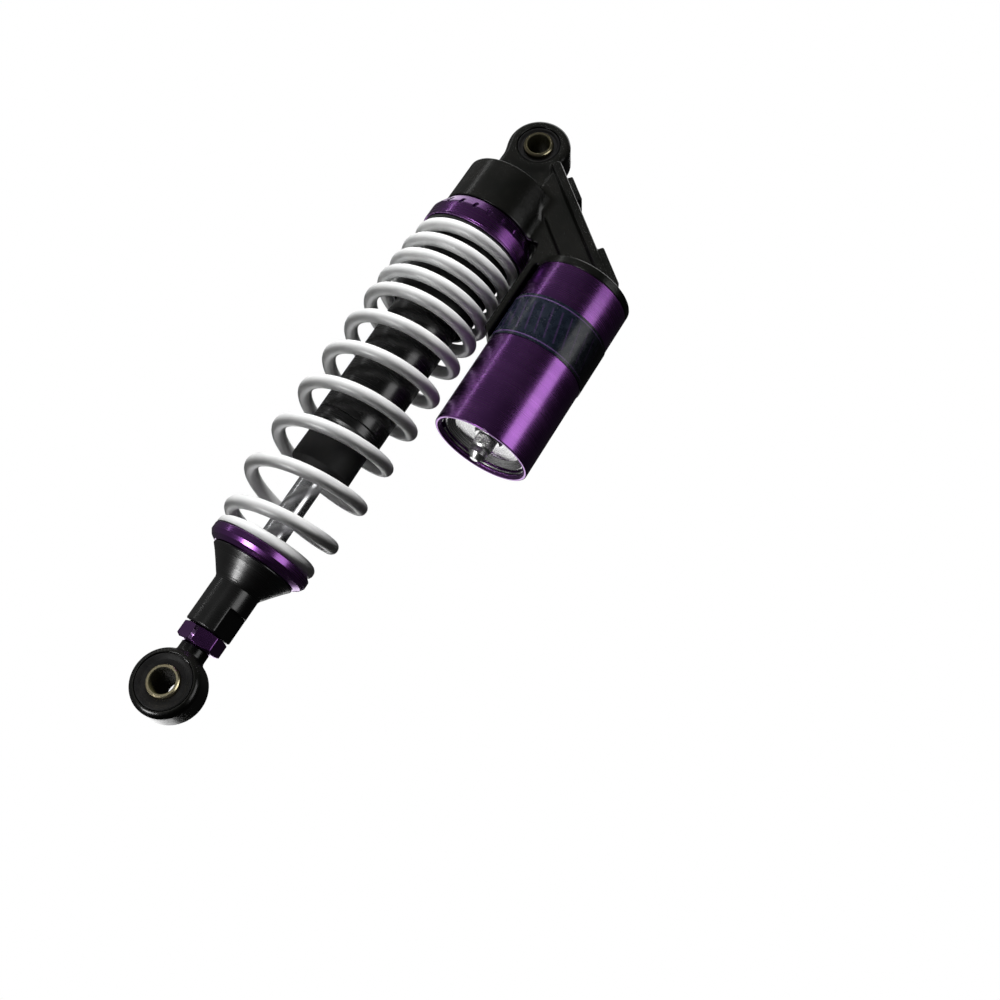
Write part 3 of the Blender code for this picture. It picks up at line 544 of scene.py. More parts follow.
def yellow_zinc(name="yellow_zinc_plate", painted_light_scale=1.4):
    """Yellow chromate over zinc: straw, sand and green tints in soft clouds, and a dull bore painted dark
    as painted shade.
    Its tints are scaled: the lower sleeve's copy is painted brighter as painted light, the upper sleeve's
    is dimmer."""
    f = Finish(name, metallic=1.0)

    def tint(*colour):
        return tuple(painted_light_scale * c for c in colour)

    cloud = f.noise(190.0, 4.0, 0.6)
    lines = f.noise(2400.0, 2.0, 0.5, f.lathe_place())
    colour = f.blend(cloud, 0.3, 0.7, tint(0.60, 0.55, 0.36), tint(0.56, 0.48, 0.30))
    colour = f.mix(f.remap(f.noise(430.0, 3.0), 0.5, 0.8, 0.0, 0.5), colour, tint(0.48, 0.52, 0.38))
    # The bore is painted dark: painted shade inside the sleeve.
    painted_bore_shade = f.remap(f.axial()[0], (BOLT_BORE + 0.32) * MM, (BOLT_BORE + 0.50) * MM, 1.0, 0.0)
    f.colour(f.mix(painted_bore_shade, colour, (0.060, 0.055, 0.026)))
    f.put(f.remap(painted_bore_shade, 0.0, 1.0, 1.0, 0.35), f.shader.inputs["Metallic"])
    f.rough(f.math("MAXIMUM", f.remap(lines, 0.3, 0.7, 0.24, 0.38), f.math("MULTIPLY", painted_bore_shade, 0.62)))
    f.bump(lines, 0.006, 0.8)
    return f.material


def faced_aluminium():
    """Bright aluminium faced in a lathe: rings round the centre that spread the light into a fan."""
    f = Finish("faced_aluminium", metallic=1.0, anisotropic=0.65)
    tangent = f.node("Tangent", {"direction_type": "RADIAL", "axis": "Z"}).outputs[0]
    f.put(tangent, f.shader.inputs["Tangent"])
    lathe = f.lathe_place()
    rings = f.noise(2800.0, 3.0, 0.6, lathe)
    broad = f.noise(420.0, 3.0, 0.6, lathe)
    f.colour(f.blend(broad, 0.3, 0.7, (0.72, 0.72, 0.72), (0.86, 0.86, 0.85)))
    f.rough(f.remap(rings, 0.3, 0.7, 0.20, 0.32))
    f.bump(rings, 0.008, 0.9)
    f.bump(broad, 0.010, 0.6)
    return f.material


def bright_aluminium(name="turned_aluminium", low=0.62, high=0.80):
    f = Finish(name, metallic=1.0)
    rings = f.noise(2600.0, 3.0, 0.6, f.lathe_place())
    patches = f.noise(160.0, 4.0, 0.6)
    f.colour(f.blend(patches, 0.3, 0.7, (low,) * 3, (high, high, high * 0.985)))
    f.rough_from(rings, patches, 0.22, 0.36)
    f.bump(rings, 0.007, 0.8)
    return f.material


def dark_foil(foot, top):
    """Dark blue printed foil, a little crumpled where it was wrapped, with two plain border lines
    and a row of plain slanted bars."""
    f = Finish("dark_printed_foil", coat_weight=0.2, coat_roughness=0.14, specular_ior_level=0.4)
    x, y, z = f.node("SeparateXYZ", Vector=f.place).outputs
    height = f.remap(z, foot * MM, top * MM, 0.0, 1.0)
    edge = f.math("ABSOLUTE", f.math("SUBTRACT", height, 0.5))
    line = f.math("COMPARE", edge, 0.435, 0.012)
    turn = f.math("ARCTAN2", y, x)
    slanted = f.math("ADD", f.math("MULTIPLY", turn, 5.0), f.math("MULTIPLY", height, 1.1))
    bar = f.math("LESS_THAN", f.math("FRACT", slanted), 0.16)
    bars = f.math("MULTIPLY", bar, f.math("LESS_THAN", edge, 0.33))
    speckle = f.noise(330.0, 4.0, 0.6)
    colour = f.blend(speckle, 0.35, 0.75, (0.003, 0.005, 0.010), (0.008, 0.012, 0.021))
    colour = f.mix(f.math("MULTIPLY", bars, 0.3), colour, (0.07, 0.03, 0.11))
    f.colour(f.mix(f.math("MULTIPLY", line, 0.6), colour, (0.12, 0.06, 0.19)))
    f.rough(f.remap(speckle, 0.3, 0.7, 0.20, 0.36))
    f.bump(f.noise(210.0, 3.0, 0.6), 0.10, 0.6)
    f.bump(f.noise(1400.0, 2.0), 0.010, 0.6)
    return f.material


CAST_BLACK = cast_black()
TURNED_BLACK = turned_black()
PURPLE = purple_anodised()
SILVER = silver_paint()
CHROME = chrome()
RUBBER = rubber()
PLASTIC = plastic()
# Two copies of the zinc plate: the lower sleeve's is painted brighter as painted light, the upper sleeve's
# is dimmer.
ZINC = yellow_zinc()
DIMMER_ZINC = yellow_zinc("dimmer_yellow_zinc", 0.62)
FACED = faced_aluminium()
ALUMINIUM = bright_aluminium()
STEEL = bright_aluminium("ground_steel", 0.34, 0.50)


# ------------------------ the head


STRUT_SLOPE = math.radians(-41.4)
STRUT_POINT = (44.2, up(291.0))


def strut_level(x):
    """Height of the strut's upper side at a distance from the shock's axis."""
    return STRUT_POINT[1] + (x - STRUT_POINT[0]) * math.tan(STRUT_SLOPE)


def strut_plate(x, z, y, start_x, end_x, half_width, above, below, radius):
    """Distance to a plate along the strut, between two distances from the shock's axis. It reaches
    from above the strut's upper side to below it, which are both lengths."""
    along = (x - start_x) * math.cos(STRUT_SLOPE) + (z - strut_level(start_x)) * math.sin(STRUT_SLOPE)
    height = -(x - start_x) * math.sin(STRUT_SLOPE) + (z - strut_level(start_x)) * math.cos(STRUT_SLOPE)
    along_gap = slab(along, 0, (end_x - start_x) / math.cos(STRUT_SLOPE))
    return round_all(along_gap, slab(height, -below, above), np.abs(y) - half_width, radius=radius)


def head_field():
    """Distance to the casting that holds the upper eye, the block on the spring and the lid of the
    reservoir, with the fillets of a casting where they meet."""
    block_radius, block_top, block_foot = 25.2, up(298.6), up(268.7)
    block = Profile(
        (0, block_top, 0), (15.5, block_top, 1.0), (block_radius, up(292.8), 0.9),
        (block_radius, block_foot, 0.6), (0, block_foot, 0),
        mirrored=True,
    )
    web_end, web_below_strut = 73.0, 2.4
    web = Profile(
        (15.0, up(309.5)), (20.0, strut_level(20.0) - web_below_strut),
        (web_end, strut_level(web_end) - web_below_strut), (web_end, up(260.5)),
        (50.0, up(260.5), 3.0), (41.4, up(268.3), 4.0), (24.9, up(282.9), 4.0),
        (15.0, up(291.7)),
    )
    # A dark leg of the casting reaches down between the spring and the reservoir: a dark piece put where
    # there is only shade, as painted shade.
    leg_inner, leg_outer = 30.2, 33.9
    shade_leg = Profile(
        (20.0, up(292.0)), (48.0, up(270.0)), (45.0, up(259.0)),
        (leg_outer, up(259.0), 2.0), (leg_outer, up(213.0), 0.8),
        (leg_inner, up(217.0), 2.0), (leg_inner, up(264.0), 3.0), (29.2, up(269.1)),
        (20.0, up(269.7)),
    )
    rim, spigot, groove = 24.8, 21.7, 19.7
    lid = Profile(
        (0, up(266.8), 0), (14.0, up(266.8), 2.5), (20.0, up(263.4), 2.0),
        (rim - 0.5, up(261.8), 0.5), (rim, up(261.2), 0.4), (rim, up(257.5), 0.3),
        (spigot, up(257.5), 0.2), (spigot, up(255.0), 0.2), (groove, up(255.0), 0.2),
        (groove, up(252.0), 0.2), (spigot, up(252.0), 0.2), (spigot, up(249.0), 0.3),
        (0, up(249.0), 0),
        mirrored=True,
    )
    neck_low, neck_high, neck_half_width = up(294.0), up(318.0), 14.2
    boss_radius, boss_half_length, eye_bore = 16.2, 9.2, 11.1
    outlet_radius = 4.0

    def field(p):
        x, y, z = p.T
        axial = np.hypot(x, y)
        eye = np.hypot(x, z)
        from_reservoir = np.hypot(x - RESERVOIR_X, y)
        width = np.abs(y)
        neck = round_all(np.abs(x) - neck_half_width, width - 8.4, slab(z, neck_low, neck_high), radius=3.0)
        boss = round_all(eye - boss_radius, width - boss_half_length, radius=3.6)
        shape = smooth_join(block(axial, z), smooth_join(neck, boss, 2.0), 1.6)
        strut = strut_plate(x, z, y, 16.5, 76.0, half_width=13.8, above=-1.1, below=6.0, radius=2.0)
        strut = smooth_join(strut, round_all(web(x, z), width - 11.0, radius=1.2), 2.0)
        upper_pad = strut_plate(x, z, y, 23.5, 34.5, half_width=10.0, above=2.2, below=3.0, radius=0.9)
        strut = smooth_join(strut, upper_pad, 0.8)
        lower_pad = strut_plate(x, z, y, 57.8, 74.5, half_width=12.0, above=2.3, below=3.0, radius=0.9)
        strut = smooth_join(strut, lower_pad, 0.8)
        # Join the dark leg that stands in for the shade between spring and reservoir.
        strut = smooth_join(strut, round_all(shade_leg(x, z), width - 8.8, radius=1.0), 1.6)
        shape = smooth_join(shape, strut, 4.4)
        shape = smooth_join(shape, lid(from_reservoir, z), 1.4)
        shape = smooth_cut(shape, np.maximum(axial - TUBE_BORE, z - up(293.0)), 0.5)
        shape = smooth_cut(shape, eye - eye_bore, 0.6)
        return smooth_cut(shape, np.maximum(from_reservoir - outlet_radius, z - up(259.5)), 0.4)

    return field


def build_head():
    mesh = surface_mesh("cast_head", head_field(), *corners("head_casting"), step=0.5)
    put_in_scene(mesh, CAST_BLACK, "upper", "head_casting")


# ------------------------ eyes


def build_eye_fittings(prefix, place, bush_body, sleeve_body, plate):
    """Rubber bush with dished faces and a moulded lip, and the plated sleeve for the bolt."""
    low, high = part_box(prefix + "_bush")
    radius, half = (high.x - low.x) / 2 / MM, (high.y - low.y) / 2 / MM
    sleeve_low, sleeve_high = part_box(prefix + "_sleeve")
    sleeve_radius = (sleeve_high.x - sleeve_low.x) / 2 / MM
    bore = sleeve_radius + 0.15
    middle_radius = (radius + sleeve_radius) / 2
    dish, lip = 1.2, 0.6
    outline = [
        (radius - lip, half, 0.4), (radius, half - lip, 0.3), (radius, lip - half, 0.3),
        (radius - lip, -half, 0.4), (middle_radius, dish - half, 0.8),
        (bore, dish - half, 0.2), (bore, half - dish, 0.2),
        (middle_radius, half - dish, 0.8),
    ]
    mesh = turned_mesh(prefix + "_rubber_bush", outline)
    put_in_scene(mesh, RUBBER, bush_body, prefix + "_bush", place, along_y=True)
    front = (place.y - sleeve_low.y) / MM
    back = (place.y - sleeve_high.y) / MM
    outer_chamfer, bore_chamfer = 0.5, 0.35
    tube = [
        (sleeve_radius - outer_chamfer, front, 0.1),
        (sleeve_radius, front - outer_chamfer, 0.1),
        (sleeve_radius, back + outer_chamfer, 0.1),
        (sleeve_radius - outer_chamfer, back, 0.1),
        (BOLT_BORE + bore_chamfer, back, 0.1), (BOLT_BORE, back + bore_chamfer, 0.1),
        (BOLT_BORE, front - bore_chamfer, 0.1), (BOLT_BORE + bore_chamfer, front, 0.1),
    ]
    mesh = turned_mesh(prefix + "_bolt_sleeve", tube)
    put_in_scene(mesh, plate, sleeve_body, prefix + "_sleeve", place, along_y=True)


def build_lower_eye():
    """Forged eye with a round neck and the stud for the nut and the lower body."""
    radius, _, stud_top = extent("lower_eye")
    bush_radius = extent("lower_bush")[0]
    centre = LOWER_EYE.z / MM
    stud_radius, neck_radius, half_thickness = 6.0, 6.8, 9.0
    neck_top, neck_foot = extent("jam_nut")[1] - 0.3, up(13.0)
    stud = Profile(
        (0, stud_top, 0), (stud_radius, stud_top, 0.7), (stud_radius, neck_top, 0.2),
        (neck_radius, neck_top, 0.4), (neck_radius, neck_foot, 0), (0, neck_foot, 0),
        mirrored=True,
    )

    def field(p):
        x, y, z = p.T
        ring = np.hypot(x, z - centre)
        shape = round_all(ring - radius, np.abs(y) - half_thickness, radius=3.6)
        shape = smooth_join(shape, stud(np.hypot(x, y), z), 1.6)
        return smooth_cut(shape, ring - bush_radius - 0.3, 0.6)

    mesh = surface_mesh("forged_lower_eye", field, *corners("lower_eye"), step=0.42)
    put_in_scene(mesh, CAST_BLACK, "lower_eye", "lower_eye")


# ------------------------ spring and what carries it


def build_preload_ring():
    """Turned ring with a row of spanner slots round its cone."""
    radius, foot, top = extent("preload_ring")
    neck = 24.4
    profile = Profile(
        (TUBE_BORE, top, 0.3), (neck, top, 0.25), (neck + 0.6, top - 0.4, 0.25),
        (radius - 0.5, top - 6.2, 0.5), (radius, top - 7.5, 0.5),
        (radius, foot + 1.1, 0.15), (radius - 0.35, foot + 0.95, 0.1),
        (radius - 0.35, foot + 0.75, 0.1), (radius, foot + 0.6, 0.15),
        (radius, foot, 0.25), (TUBE_BORE, foot, 0.3),
    )
    slots, first = 22, math.radians(-75.5)
    pitch = 2 * math.pi / slots
    slot_low, slot_high, half_width, slot_floor = top - 7.6, top - 3.6, 0.85, radius - 2.6

    def field(p):
        x, y, z = p.T
        axial = np.hypot(x, y)
        shape = profile(axial, z)
        turn = np.arctan2(y, x) - first
        off = (turn - np.round(turn / pitch) * pitch) * axial
        across = round_all(np.abs(off) - half_width, slab(z, slot_low, slot_high), radius=half_width * 0.95)
        slot = np.maximum(across, slot_floor - axial)
        return smooth_cut(shape, slot, 0.3)

    low, high = (-radius, -radius, foot), (radius, radius, top)
    mesh = surface_mesh("slotted_preload_ring", field, low, high, step=0.32)
    put_in_scene(mesh, PURPLE, "preload_ring", "preload_ring")


def build_spring_guide():
    """Thin sleeve that centres the top coils, with a flange under the ring."""
    radius, foot, top = extent("spring_guide")
    sleeve, wall, flange = 21.1, 1.5, 1.0
    outline = [
        (radius, top, 0.2), (radius, top - flange, 0.2), (sleeve, top - flange, 0.5),
        (sleeve, foot, 0.5), (sleeve - wall, foot, 0.3),
        (sleeve - wall, top - flange, 0.3), (TUBE_BORE, top - flange, 0.15),
        (TUBE_BORE, top, 0.15),
    ]
    put_turned("moulded_spring_guide", outline, PLASTIC, "upper", "spring_guide")


WIRE_RADIUS = 3.28
COIL_RADIUS, BOTTOM_COIL_RADIUS, TOP_COIL_RADIUS = 26.3, 21.5, 25.0
TAPER_TURNS, COIL_TURNS, FIRST_TURN = 1.9, 11.75, -0.40
FRONT_ANGLE = math.radians(-70)
COIL_BOW = 1.3
# The rise in one turn, at these turns from the foot: a closed end, open coils, then closer ones.
PITCHES = (
    (-0.4, 0.0), (0.0, 5.5), (1.3, 22.9), (3.0, 22.6), (6.3, 17.6), (7.3, 10.8),
    (10.0, 10.2), (12.0, 10.9),
)


def coil_rise(turn):
    """Rise of the wire's centre after this many turns: the area under the pitches."""
    rise = 0.0
    for (t0, p0), (t1, p1) in zip(PITCHES, PITCHES[1:]):
        if turn <= t0:
            break
        end = min(turn, t1)
        rise += (end - t0) * (p0 + p0 + (p1 - p0) * (end - t0) / (t1 - t0)) / 2
    return rise


def ease(share):
    """0 to 1 with a level start and end."""
    share = min(max(share, 0.0), 1.0)
    return share * share * (3 - 2 * share)


def coil_radius(turn):
    """The coil draws in towards both of its closed ends."""
    last = FIRST_TURN + COIL_TURNS
    foot = BOTTOM_COIL_RADIUS + (COIL_RADIUS - BOTTOM_COIL_RADIUS) * ease(turn / TAPER_TURNS)
    head = TOP_COIL_RADIUS + (COIL_RADIUS - TOP_COIL_RADIUS) * ease((last - turn) / TAPER_TURNS)
    return min(foot, head)


def build_spring():
    """Right-hand coil of round wire, bowed a little to the left, with both ends ground flat."""
    _, ground_foot, ground_top = extent("coil_spring")
    below_seat_top, across, per_turn = 2.1, 20, 56
    count = round(COIL_TURNS * per_turn) + 1
    turns = FIRST_TURN + COIL_TURNS * np.arange(count) / (count - 1)
    angles = FRONT_ANGLE + 2 * math.pi * turns
    radii = np.array([coil_radius(t) for t in turns])
    rises = np.array([coil_rise(t) for t in turns])
    levels = extent("spring_seat")[2] - below_seat_top + rises
    bow = COIL_BOW * np.sin(math.pi * np.arange(count) / (count - 1))
    centres = np.stack((radii * np.cos(angles) - bow, radii * np.sin(angles), levels), -1)
    run = np.gradient(centres, axis=0)
    run /= np.linalg.norm(run, axis=1)[:, None]
    out = np.stack((np.cos(angles), np.sin(angles), np.zeros(count)), -1)
    out -= run * (out * run).sum(1)[:, None]
    out /= np.linalg.norm(out, axis=1)[:, None]
    side = np.cross(run, out)
    a = np.linspace(0, 2 * math.pi, across, endpoint=False)
    ring = np.cos(a)[None, :, None] * out[:, None] + np.sin(a)[None, :, None] * side[:, None]
    points = (centres[:, None] + WIRE_RADIUS * ring).reshape(-1, 3)
    index = np.arange(count * across).reshape(count, across)
    index = np.hstack((index, index[:, :1]))
    quads = np.stack((index[:-1, :-1], index[1:, :-1], index[1:, 1:], index[:-1, 1:]), -1).reshape(-1, 4)
    faces = [*quads[:, ::-1].tolist(), index[0, :-1].tolist(), index[-1, :-1][::-1].tolist()]
    mesh = mesh_of("coil_spring_wire", points, faces)
    shape = bmesh.new()
    shape.from_mesh(mesh)
    bmesh.ops.recalc_face_normals(shape, faces=shape.faces)
    for level, direction in ((ground_foot, -1), (ground_top, 1)):
        everything = [*shape.verts, *shape.edges, *shape.faces]
        place, normal = (0, 0, level * MM), (0, 0, direction)
        bmesh.ops.bisect_plane(shape, geom=everything, plane_co=place, plane_no=normal, clear_outer=True)
        rim = [e for e in shape.edges if e.is_boundary]
        bmesh.ops.holes_fill(shape, edges=rim)
    shape.to_mesh(mesh)
    shape.free()
    mesh.set_sharp_from_angle(angle=math.radians(38))
    spring = put_in_scene(mesh, SILVER, "upper", "coil_spring")
    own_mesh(spring)


def build_spring_seat():
    """Turned seat with a hub inside the last coil and a chamfer under its rim."""
    radius, foot, top = extent("spring_seat")
    hub, shelf = 17.2, top - 3.1
    outline = [
        (hub - 1.0, top, 0.3), (hub, top - 1.0, 0.3), (hub, shelf, 0.6),
        (radius - 0.5, shelf, 0.2), (radius, shelf - 0.5, 0.2),
        (radius, shelf - 3.5, 0.25), (23.6, foot + 1.7, 0.3), (21.0, foot, 0.3),
        (ROD_BORE, foot, 0.2), (ROD_BORE, top, 0.3),
    ]
    put_turned("turned_spring_seat", outline, PURPLE, "seat", "spring_seat")


# ------------------------ damper


def build_damper():
    """Tube, gland, wiper, bump stop and rod."""
    radius, foot, top = extent("damper_tube")
    tube_bore = 15.0
    tube = [(radius, top, 0.3), (radius, foot, 0.35), (tube_bore, foot, 0.2), (tube_bore, top, 0.2)]
    put_turned("turned_damper_tube", tube, TURNED_BLACK, "upper", "damper_tube")

    radius, foot, top = extent("tube_gland")
    shoulder = extent("damper_tube")[1] - 0.3
    gland = [
        (tube_bore - 0.3, top, 0.3), (tube_bore - 0.3, shoulder, 0.2),
        (radius, shoulder, 0.35), (radius, foot + 1.4, 0.5), (radius - 1.4, foot, 0.5),
        (9.0, foot, 0.4), (9.0, foot + 3.9, 0.2), (6.9, foot + 3.9, 0.2),
        (6.9, foot + 4.7, 0.2), (8.3, foot + 4.7, 0.2), (8.3, top, 0.2),
    ]
    put_turned("turned_gland", gland, TURNED_BLACK, "upper", "tube_gland")

    radius, foot, top = extent("dust_wiper")
    lip = [
        (radius, top, 0.2), (radius, foot, 0.3), (7.5, foot, 0.3),
        (6.15, foot + 0.6, 0.1), (6.15, top, 0.2),
    ]
    put_turned("moulded_wiper", lip, RUBBER, "upper", "dust_wiper")

    radius, foot, top = extent("bump_stop")
    stop = [
        (radius - 1.2, top, 0.4), (radius - 0.3, top - 1.2, 0.6),
        (radius, foot + 3.0, 1.6), (radius - 3.4, foot, 1.4), (9.4, foot, 0.5),
        (8.4, foot + 4.0, 0.8), (ROD_BORE, foot + 5.0, 0.3), (ROD_BORE, top, 0.2),
    ]
    put_turned("moulded_bump_stop", stop, RUBBER, "upper", "bump_stop")

    radius, foot, top = extent("piston_rod")
    shoulder, thread, end_chamfer, foot_chamfer = up(162.0), 4.0, 0.5, 0.8
    rod = [
        (0, top, 0), (thread - end_chamfer, top, 0.1), (thread, top - end_chamfer, 0.1),
        (thread, shoulder, 0.1), (radius, shoulder, 0.3),
        (radius, foot + foot_chamfer, 0.1), (radius - foot_chamfer, foot, 0.1),
        (0, foot, 0),
    ]
    put_turned("ground_rod", rod, CHROME, "rod", "piston_rod", solid=True)


def build_lower_body():
    """Bell under the seat that narrows to a shank with two milled wrench flats. A web inside parts
    the rod's bore from the stud's."""
    radius, foot, top = extent("lower_body")
    shank = 11.2
    bell = Profile(
        (ROD_BORE, top, 0.2), (radius, top, 0.3), (radius, top - 0.8, 0.3),
        (18.2, top - 3.5, 2.0), (14.8, top - 7.8, 3.0), (12.4, top - 11.0, 0.5),
        (11.7, top - 11.8, 0.2), (shank, top - 13.0, 0.3), (shank, foot + 0.6, 0.2),
        (shank - 0.6, foot, 0.2), (ROD_BORE, foot, 0.3),
    )
    web_radius, web_low, web_high = 7.0, up(44.3), up(48.1)
    flats_top, flat_distance, flat_angle = up(41.3), 8.6, math.radians(-15)
    normal = (math.cos(flat_angle), math.sin(flat_angle))

    def field(p):
        x, y, z = p.T
        axial = np.hypot(x, y)
        web = round_all(axial - web_radius, slab(z, web_low, web_high), radius=0.2)
        shape = np.minimum(bell(axial, z), web)
        off = np.abs(x * normal[0] + y * normal[1])
        return smooth_cut(shape, np.maximum(flat_distance - off, z - flats_top), 0.35)

    low, high = (-radius, -radius, foot), (radius, radius, top)
    mesh = surface_mesh("turned_lower_body", field, low, high, step=0.36)
    put_in_scene(mesh, TURNED_BLACK, "rod", "lower_body")


def build_jam_nut():
    """Hexagon nut with both faces chamfered."""
    _, foot, top = extent("jam_nut")
    flats, corner_angle, bore_chamfer = 19.0, math.radians(-36), 0.5
    corner = flats / math.sqrt(3)
    sides = [corner_angle + math.radians(30 + 60 * i) for i in range(6)]
    chamfer = Profile(
        (ROD_BORE + bore_chamfer, top, 0.1), (corner - 1.9, top, 0.2),
        (corner - 0.1, top - 0.7, 0.2), (corner - 0.1, foot + 1.1, 0.2),
        (corner - 2.1, foot, 0.2), (ROD_BORE + bore_chamfer, foot, 0.1),
        (ROD_BORE, foot + bore_chamfer, 0.1), (ROD_BORE, top - bore_chamfer, 0.1),
    )

    def field(p):
        x, y, z = p.T
        faces = [x * math.cos(a) + y * math.sin(a) - flats / 2 for a in sides]
        hexagon = round_all(*faces, radius=0.25)
        return smooth_cut(chamfer(np.hypot(x, y), z), -hexagon, 0.2)

    mesh = surface_mesh("hexagon_jam_nut", field, *corners("jam_nut"), step=0.26)
    put_in_scene(mesh, PURPLE, "jam_nut", "jam_nut")


# ------------------------ reservoir


def build_reservoir():
    """Tube with a round lip and a groove for the wire ring, its foil band, end cap and gas valve."""
    radius, foot, top = extent("reservoir_tube")
    inner, steps = radius - 2.8, 224
    groove, groove_low, groove_high = inner + 1.1, foot + 1.7, foot + 3.3
    tube = [
        (radius, top, 0.25), (radius, foot, 0.8), (inner + 1.5, foot, 0.4),
        (inner, foot + 1.0, 0.3), (inner, groove_low, 0.1), (groove, groove_low, 0.1),
        (groove, groove_high, 0.1), (inner, groove_high, 0.1), (inner, top, 0.2),
    ]
    mesh = turned_mesh("turned_reservoir_tube", tube, steps=steps)
    put_in_scene(mesh, PURPLE, "upper", "reservoir_tube", RESERVOIR_AXIS)

    band_radius, band_foot, band_top = extent("reservoir_band")
    foil_outer, foil_inner = band_radius - 0.05, radius + 0.15
    band = [
        (foil_outer, band_top, 0.05), (foil_outer, band_foot, 0.05),
        (foil_inner, band_foot, 0.03), (foil_inner, band_top, 0.03),
    ]
    mesh = turned_mesh("wrapped_foil_band", band, steps=steps)
    foil = dark_foil(band_foot, band_top)
    put_in_scene(mesh, foil, "upper", "reservoir_band", RESERVOIR_AXIS)

    cap_radius, cap_foot, cap_top = extent("reservoir_end_cap")
    valve_bore = 2.75
    cap = [
        (cap_radius, cap_top, 0.2), (cap_radius, cap_foot + 0.3, 0.15),
        (cap_radius - 0.3, cap_foot, 0.15), (20.4, cap_foot, 0.4),
        (17.2, cap_foot + 2.6, 0.5), (7.4, cap_foot + 3.9, 0.4),
        (6.6, cap_foot + 2.3, 0.3), (valve_bore, cap_foot + 2.3, 0.1),
        (valve_bore, cap_top, 0.1),
    ]
    mesh = turned_mesh("faced_end_cap", cap, steps=steps)
    put_in_scene(mesh, FACED, "upper", "reservoir_end_cap", RESERVOIR_AXIS)

    clip_radius, clip_foot, clip_top = extent("end_cap_circlip")
    wire = (clip_top - clip_foot) / 2
    level, ring_radius = (clip_foot + clip_top) / 2, clip_radius - wire
    sides = [-2 * math.pi * i / 16 for i in range(16)]
    section = [(ring_radius + wire * math.cos(a), level + wire * math.sin(a), 0.01) for a in sides]
    mesh = turned_mesh("wire_circlip", section, gap=0.32, steps=200)
    put_in_scene(mesh, STEEL, "upper", "end_cap_circlip", RESERVOIR_AXIS)

    build_valve_cap()


def build_valve_cap():
    """Screw cap of the gas valve: a knurled grip and a narrower blunt tip."""
    radius, foot, top = extent("valve_cap")
    grip_foot, tip = top - 5.7, 4.3
    outline = [
        (radius, top, 0.35), (radius - 0.6, grip_foot, 0.2),
        (tip, grip_foot - 0.2, 0.15), (tip, foot + 2.6, 0.5), (2.0, foot, 0.7),
        (0, foot, 0),
    ]
    rows, ridges = 40, 30
    grip = [(radius, top - 0.45 - (top - grip_foot - 1.1) * i / rows, 0.0) for i in range(rows + 1)]
    outline = [(0, top, 0), outline[0], *grip, *outline[1:]]

    def knurl(angle, z):
        """Grooves that leave two sets of crossing slanted ridges, fading out at both ends."""
        lead, depth = 2.4, 0.28
        one = np.abs(np.sin(ridges / 2 * angle + lead * (z - grip_foot)))
        two = np.abs(np.sin(ridges / 2 * angle - lead * (z - grip_foot)))
        fade = np.clip((top - 0.4 - z) / 0.5, 0, 1) * np.clip((z - grip_foot - 0.6) / 0.4, 0, 1)
        return -depth * fade * (1 - np.minimum(one, two)) ** 2

    mesh = turned_mesh("knurled_valve_cap", outline, solid=True, steps=288, relief=knurl)
    mesh.set_sharp_from_angle(angle=math.radians(50))
    put_in_scene(mesh, ALUMINIUM, "valve_cap", "valve_cap", RESERVOIR_AXIS)


def finish_hidden_nodes():
    """The pieces inside keep their CAD shape and get the finishes of the real ones."""
    shims = ("rebound_shims", "compression_shims")
    kept = {
        RUBBER: ("rod_seal", "rebound_stop", "floating_piston_ring", "reservoir_ring"),
        STEEL: ("rod_guide", "gland_circlip", *shims, "piston_band", "piston_nut"),
        ALUMINIUM: ("piston", "floating_piston"),
        ZINC: ("valve_stem",),
    }
    for finish, names in kept.items():
        for name in names:
            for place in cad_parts[name].material_slots:
                place.material = finish


build_head()
build_eye_fittings("upper", UPPER_EYE, "upper", "upper_sleeve", DIMMER_ZINC)
build_eye_fittings("lower", LOWER_EYE, "lower_eye", "lower_sleeve", ZINC)
build_lower_eye()
build_preload_ring()
build_spring_guide()
build_spring()
build_spring_seat()
build_damper()
build_lower_body()
build_jam_nut()
build_reservoir()
finish_hidden_nodes()


# ------------------------ studio and camera


def add_camera():
    """Camera a little right of the front and below the shock, rolled so that it lies across the
    picture. It aims at a point right of the shock, above the lower eye."""
    height, turn, roll = (math.radians(a) for a in (-17.512, 14.994, -32.540))
    distance, aim_right, aim_above_eye = 0.568873, 0.08052, 0.146375
    focal_share = 1.251349
    target = Vector((aim_right, 0, LOWER_EYE.z + aim_above_eye))
    back = Vector((math.cos(height) * math.sin(turn), -math.cos(height) * math.cos(turn), math.sin(height)))
    right = (-back).cross(Vector((0, 0, 1))).normalized()
    top = right.cross(-back)
    picture_right = right * math.cos(roll) - top * math.sin(roll)
    picture_top = right * math.sin(roll) + top * math.cos(roll)
    place = Matrix((picture_right, picture_top, back)).transposed().to_4x4()
    place.translation = target + back * distance
    camera = bpy.data.cameras.new("camera")
    camera.sensor_width = 36
    camera.lens = focal_share * camera.sensor_width
    camera.clip_start, camera.clip_end = 0.01, 20
    obj = add_object("camera", camera)
    obj.matrix_world = place
    bpy.context.scene.camera = obj


LIT_POINT = Vector((0.02, 0, -0.16))


def softbox(name, azimuth, elevation, distance, size, power, diffuse=True, glossy=True):
    """A rectangular light at this azimuth, from 0 in front to 90 on the right, turned to the shock's
    middle. It can be kept out of the diffuse light or out of the reflections."""
    light = bpy.data.lights.new(name, "AREA")
    light.shape = "RECTANGLE"
    light.size, light.size_y = size
    light.energy = power
    obj = add_object(name, light)
    a, e = math.radians(azimuth), math.radians(elevation)
    out = Vector((math.sin(a) * math.cos(e), -math.cos(a) * math.cos(e), math.sin(e)))
    obj.location = LIT_POINT + out * distance
    obj.rotation_euler = out.to_track_quat("Z", "Y").to_euler()
    obj.visible_camera = False
    obj.visible_diffuse = diffuse
    obj.visible_glossy = glossy


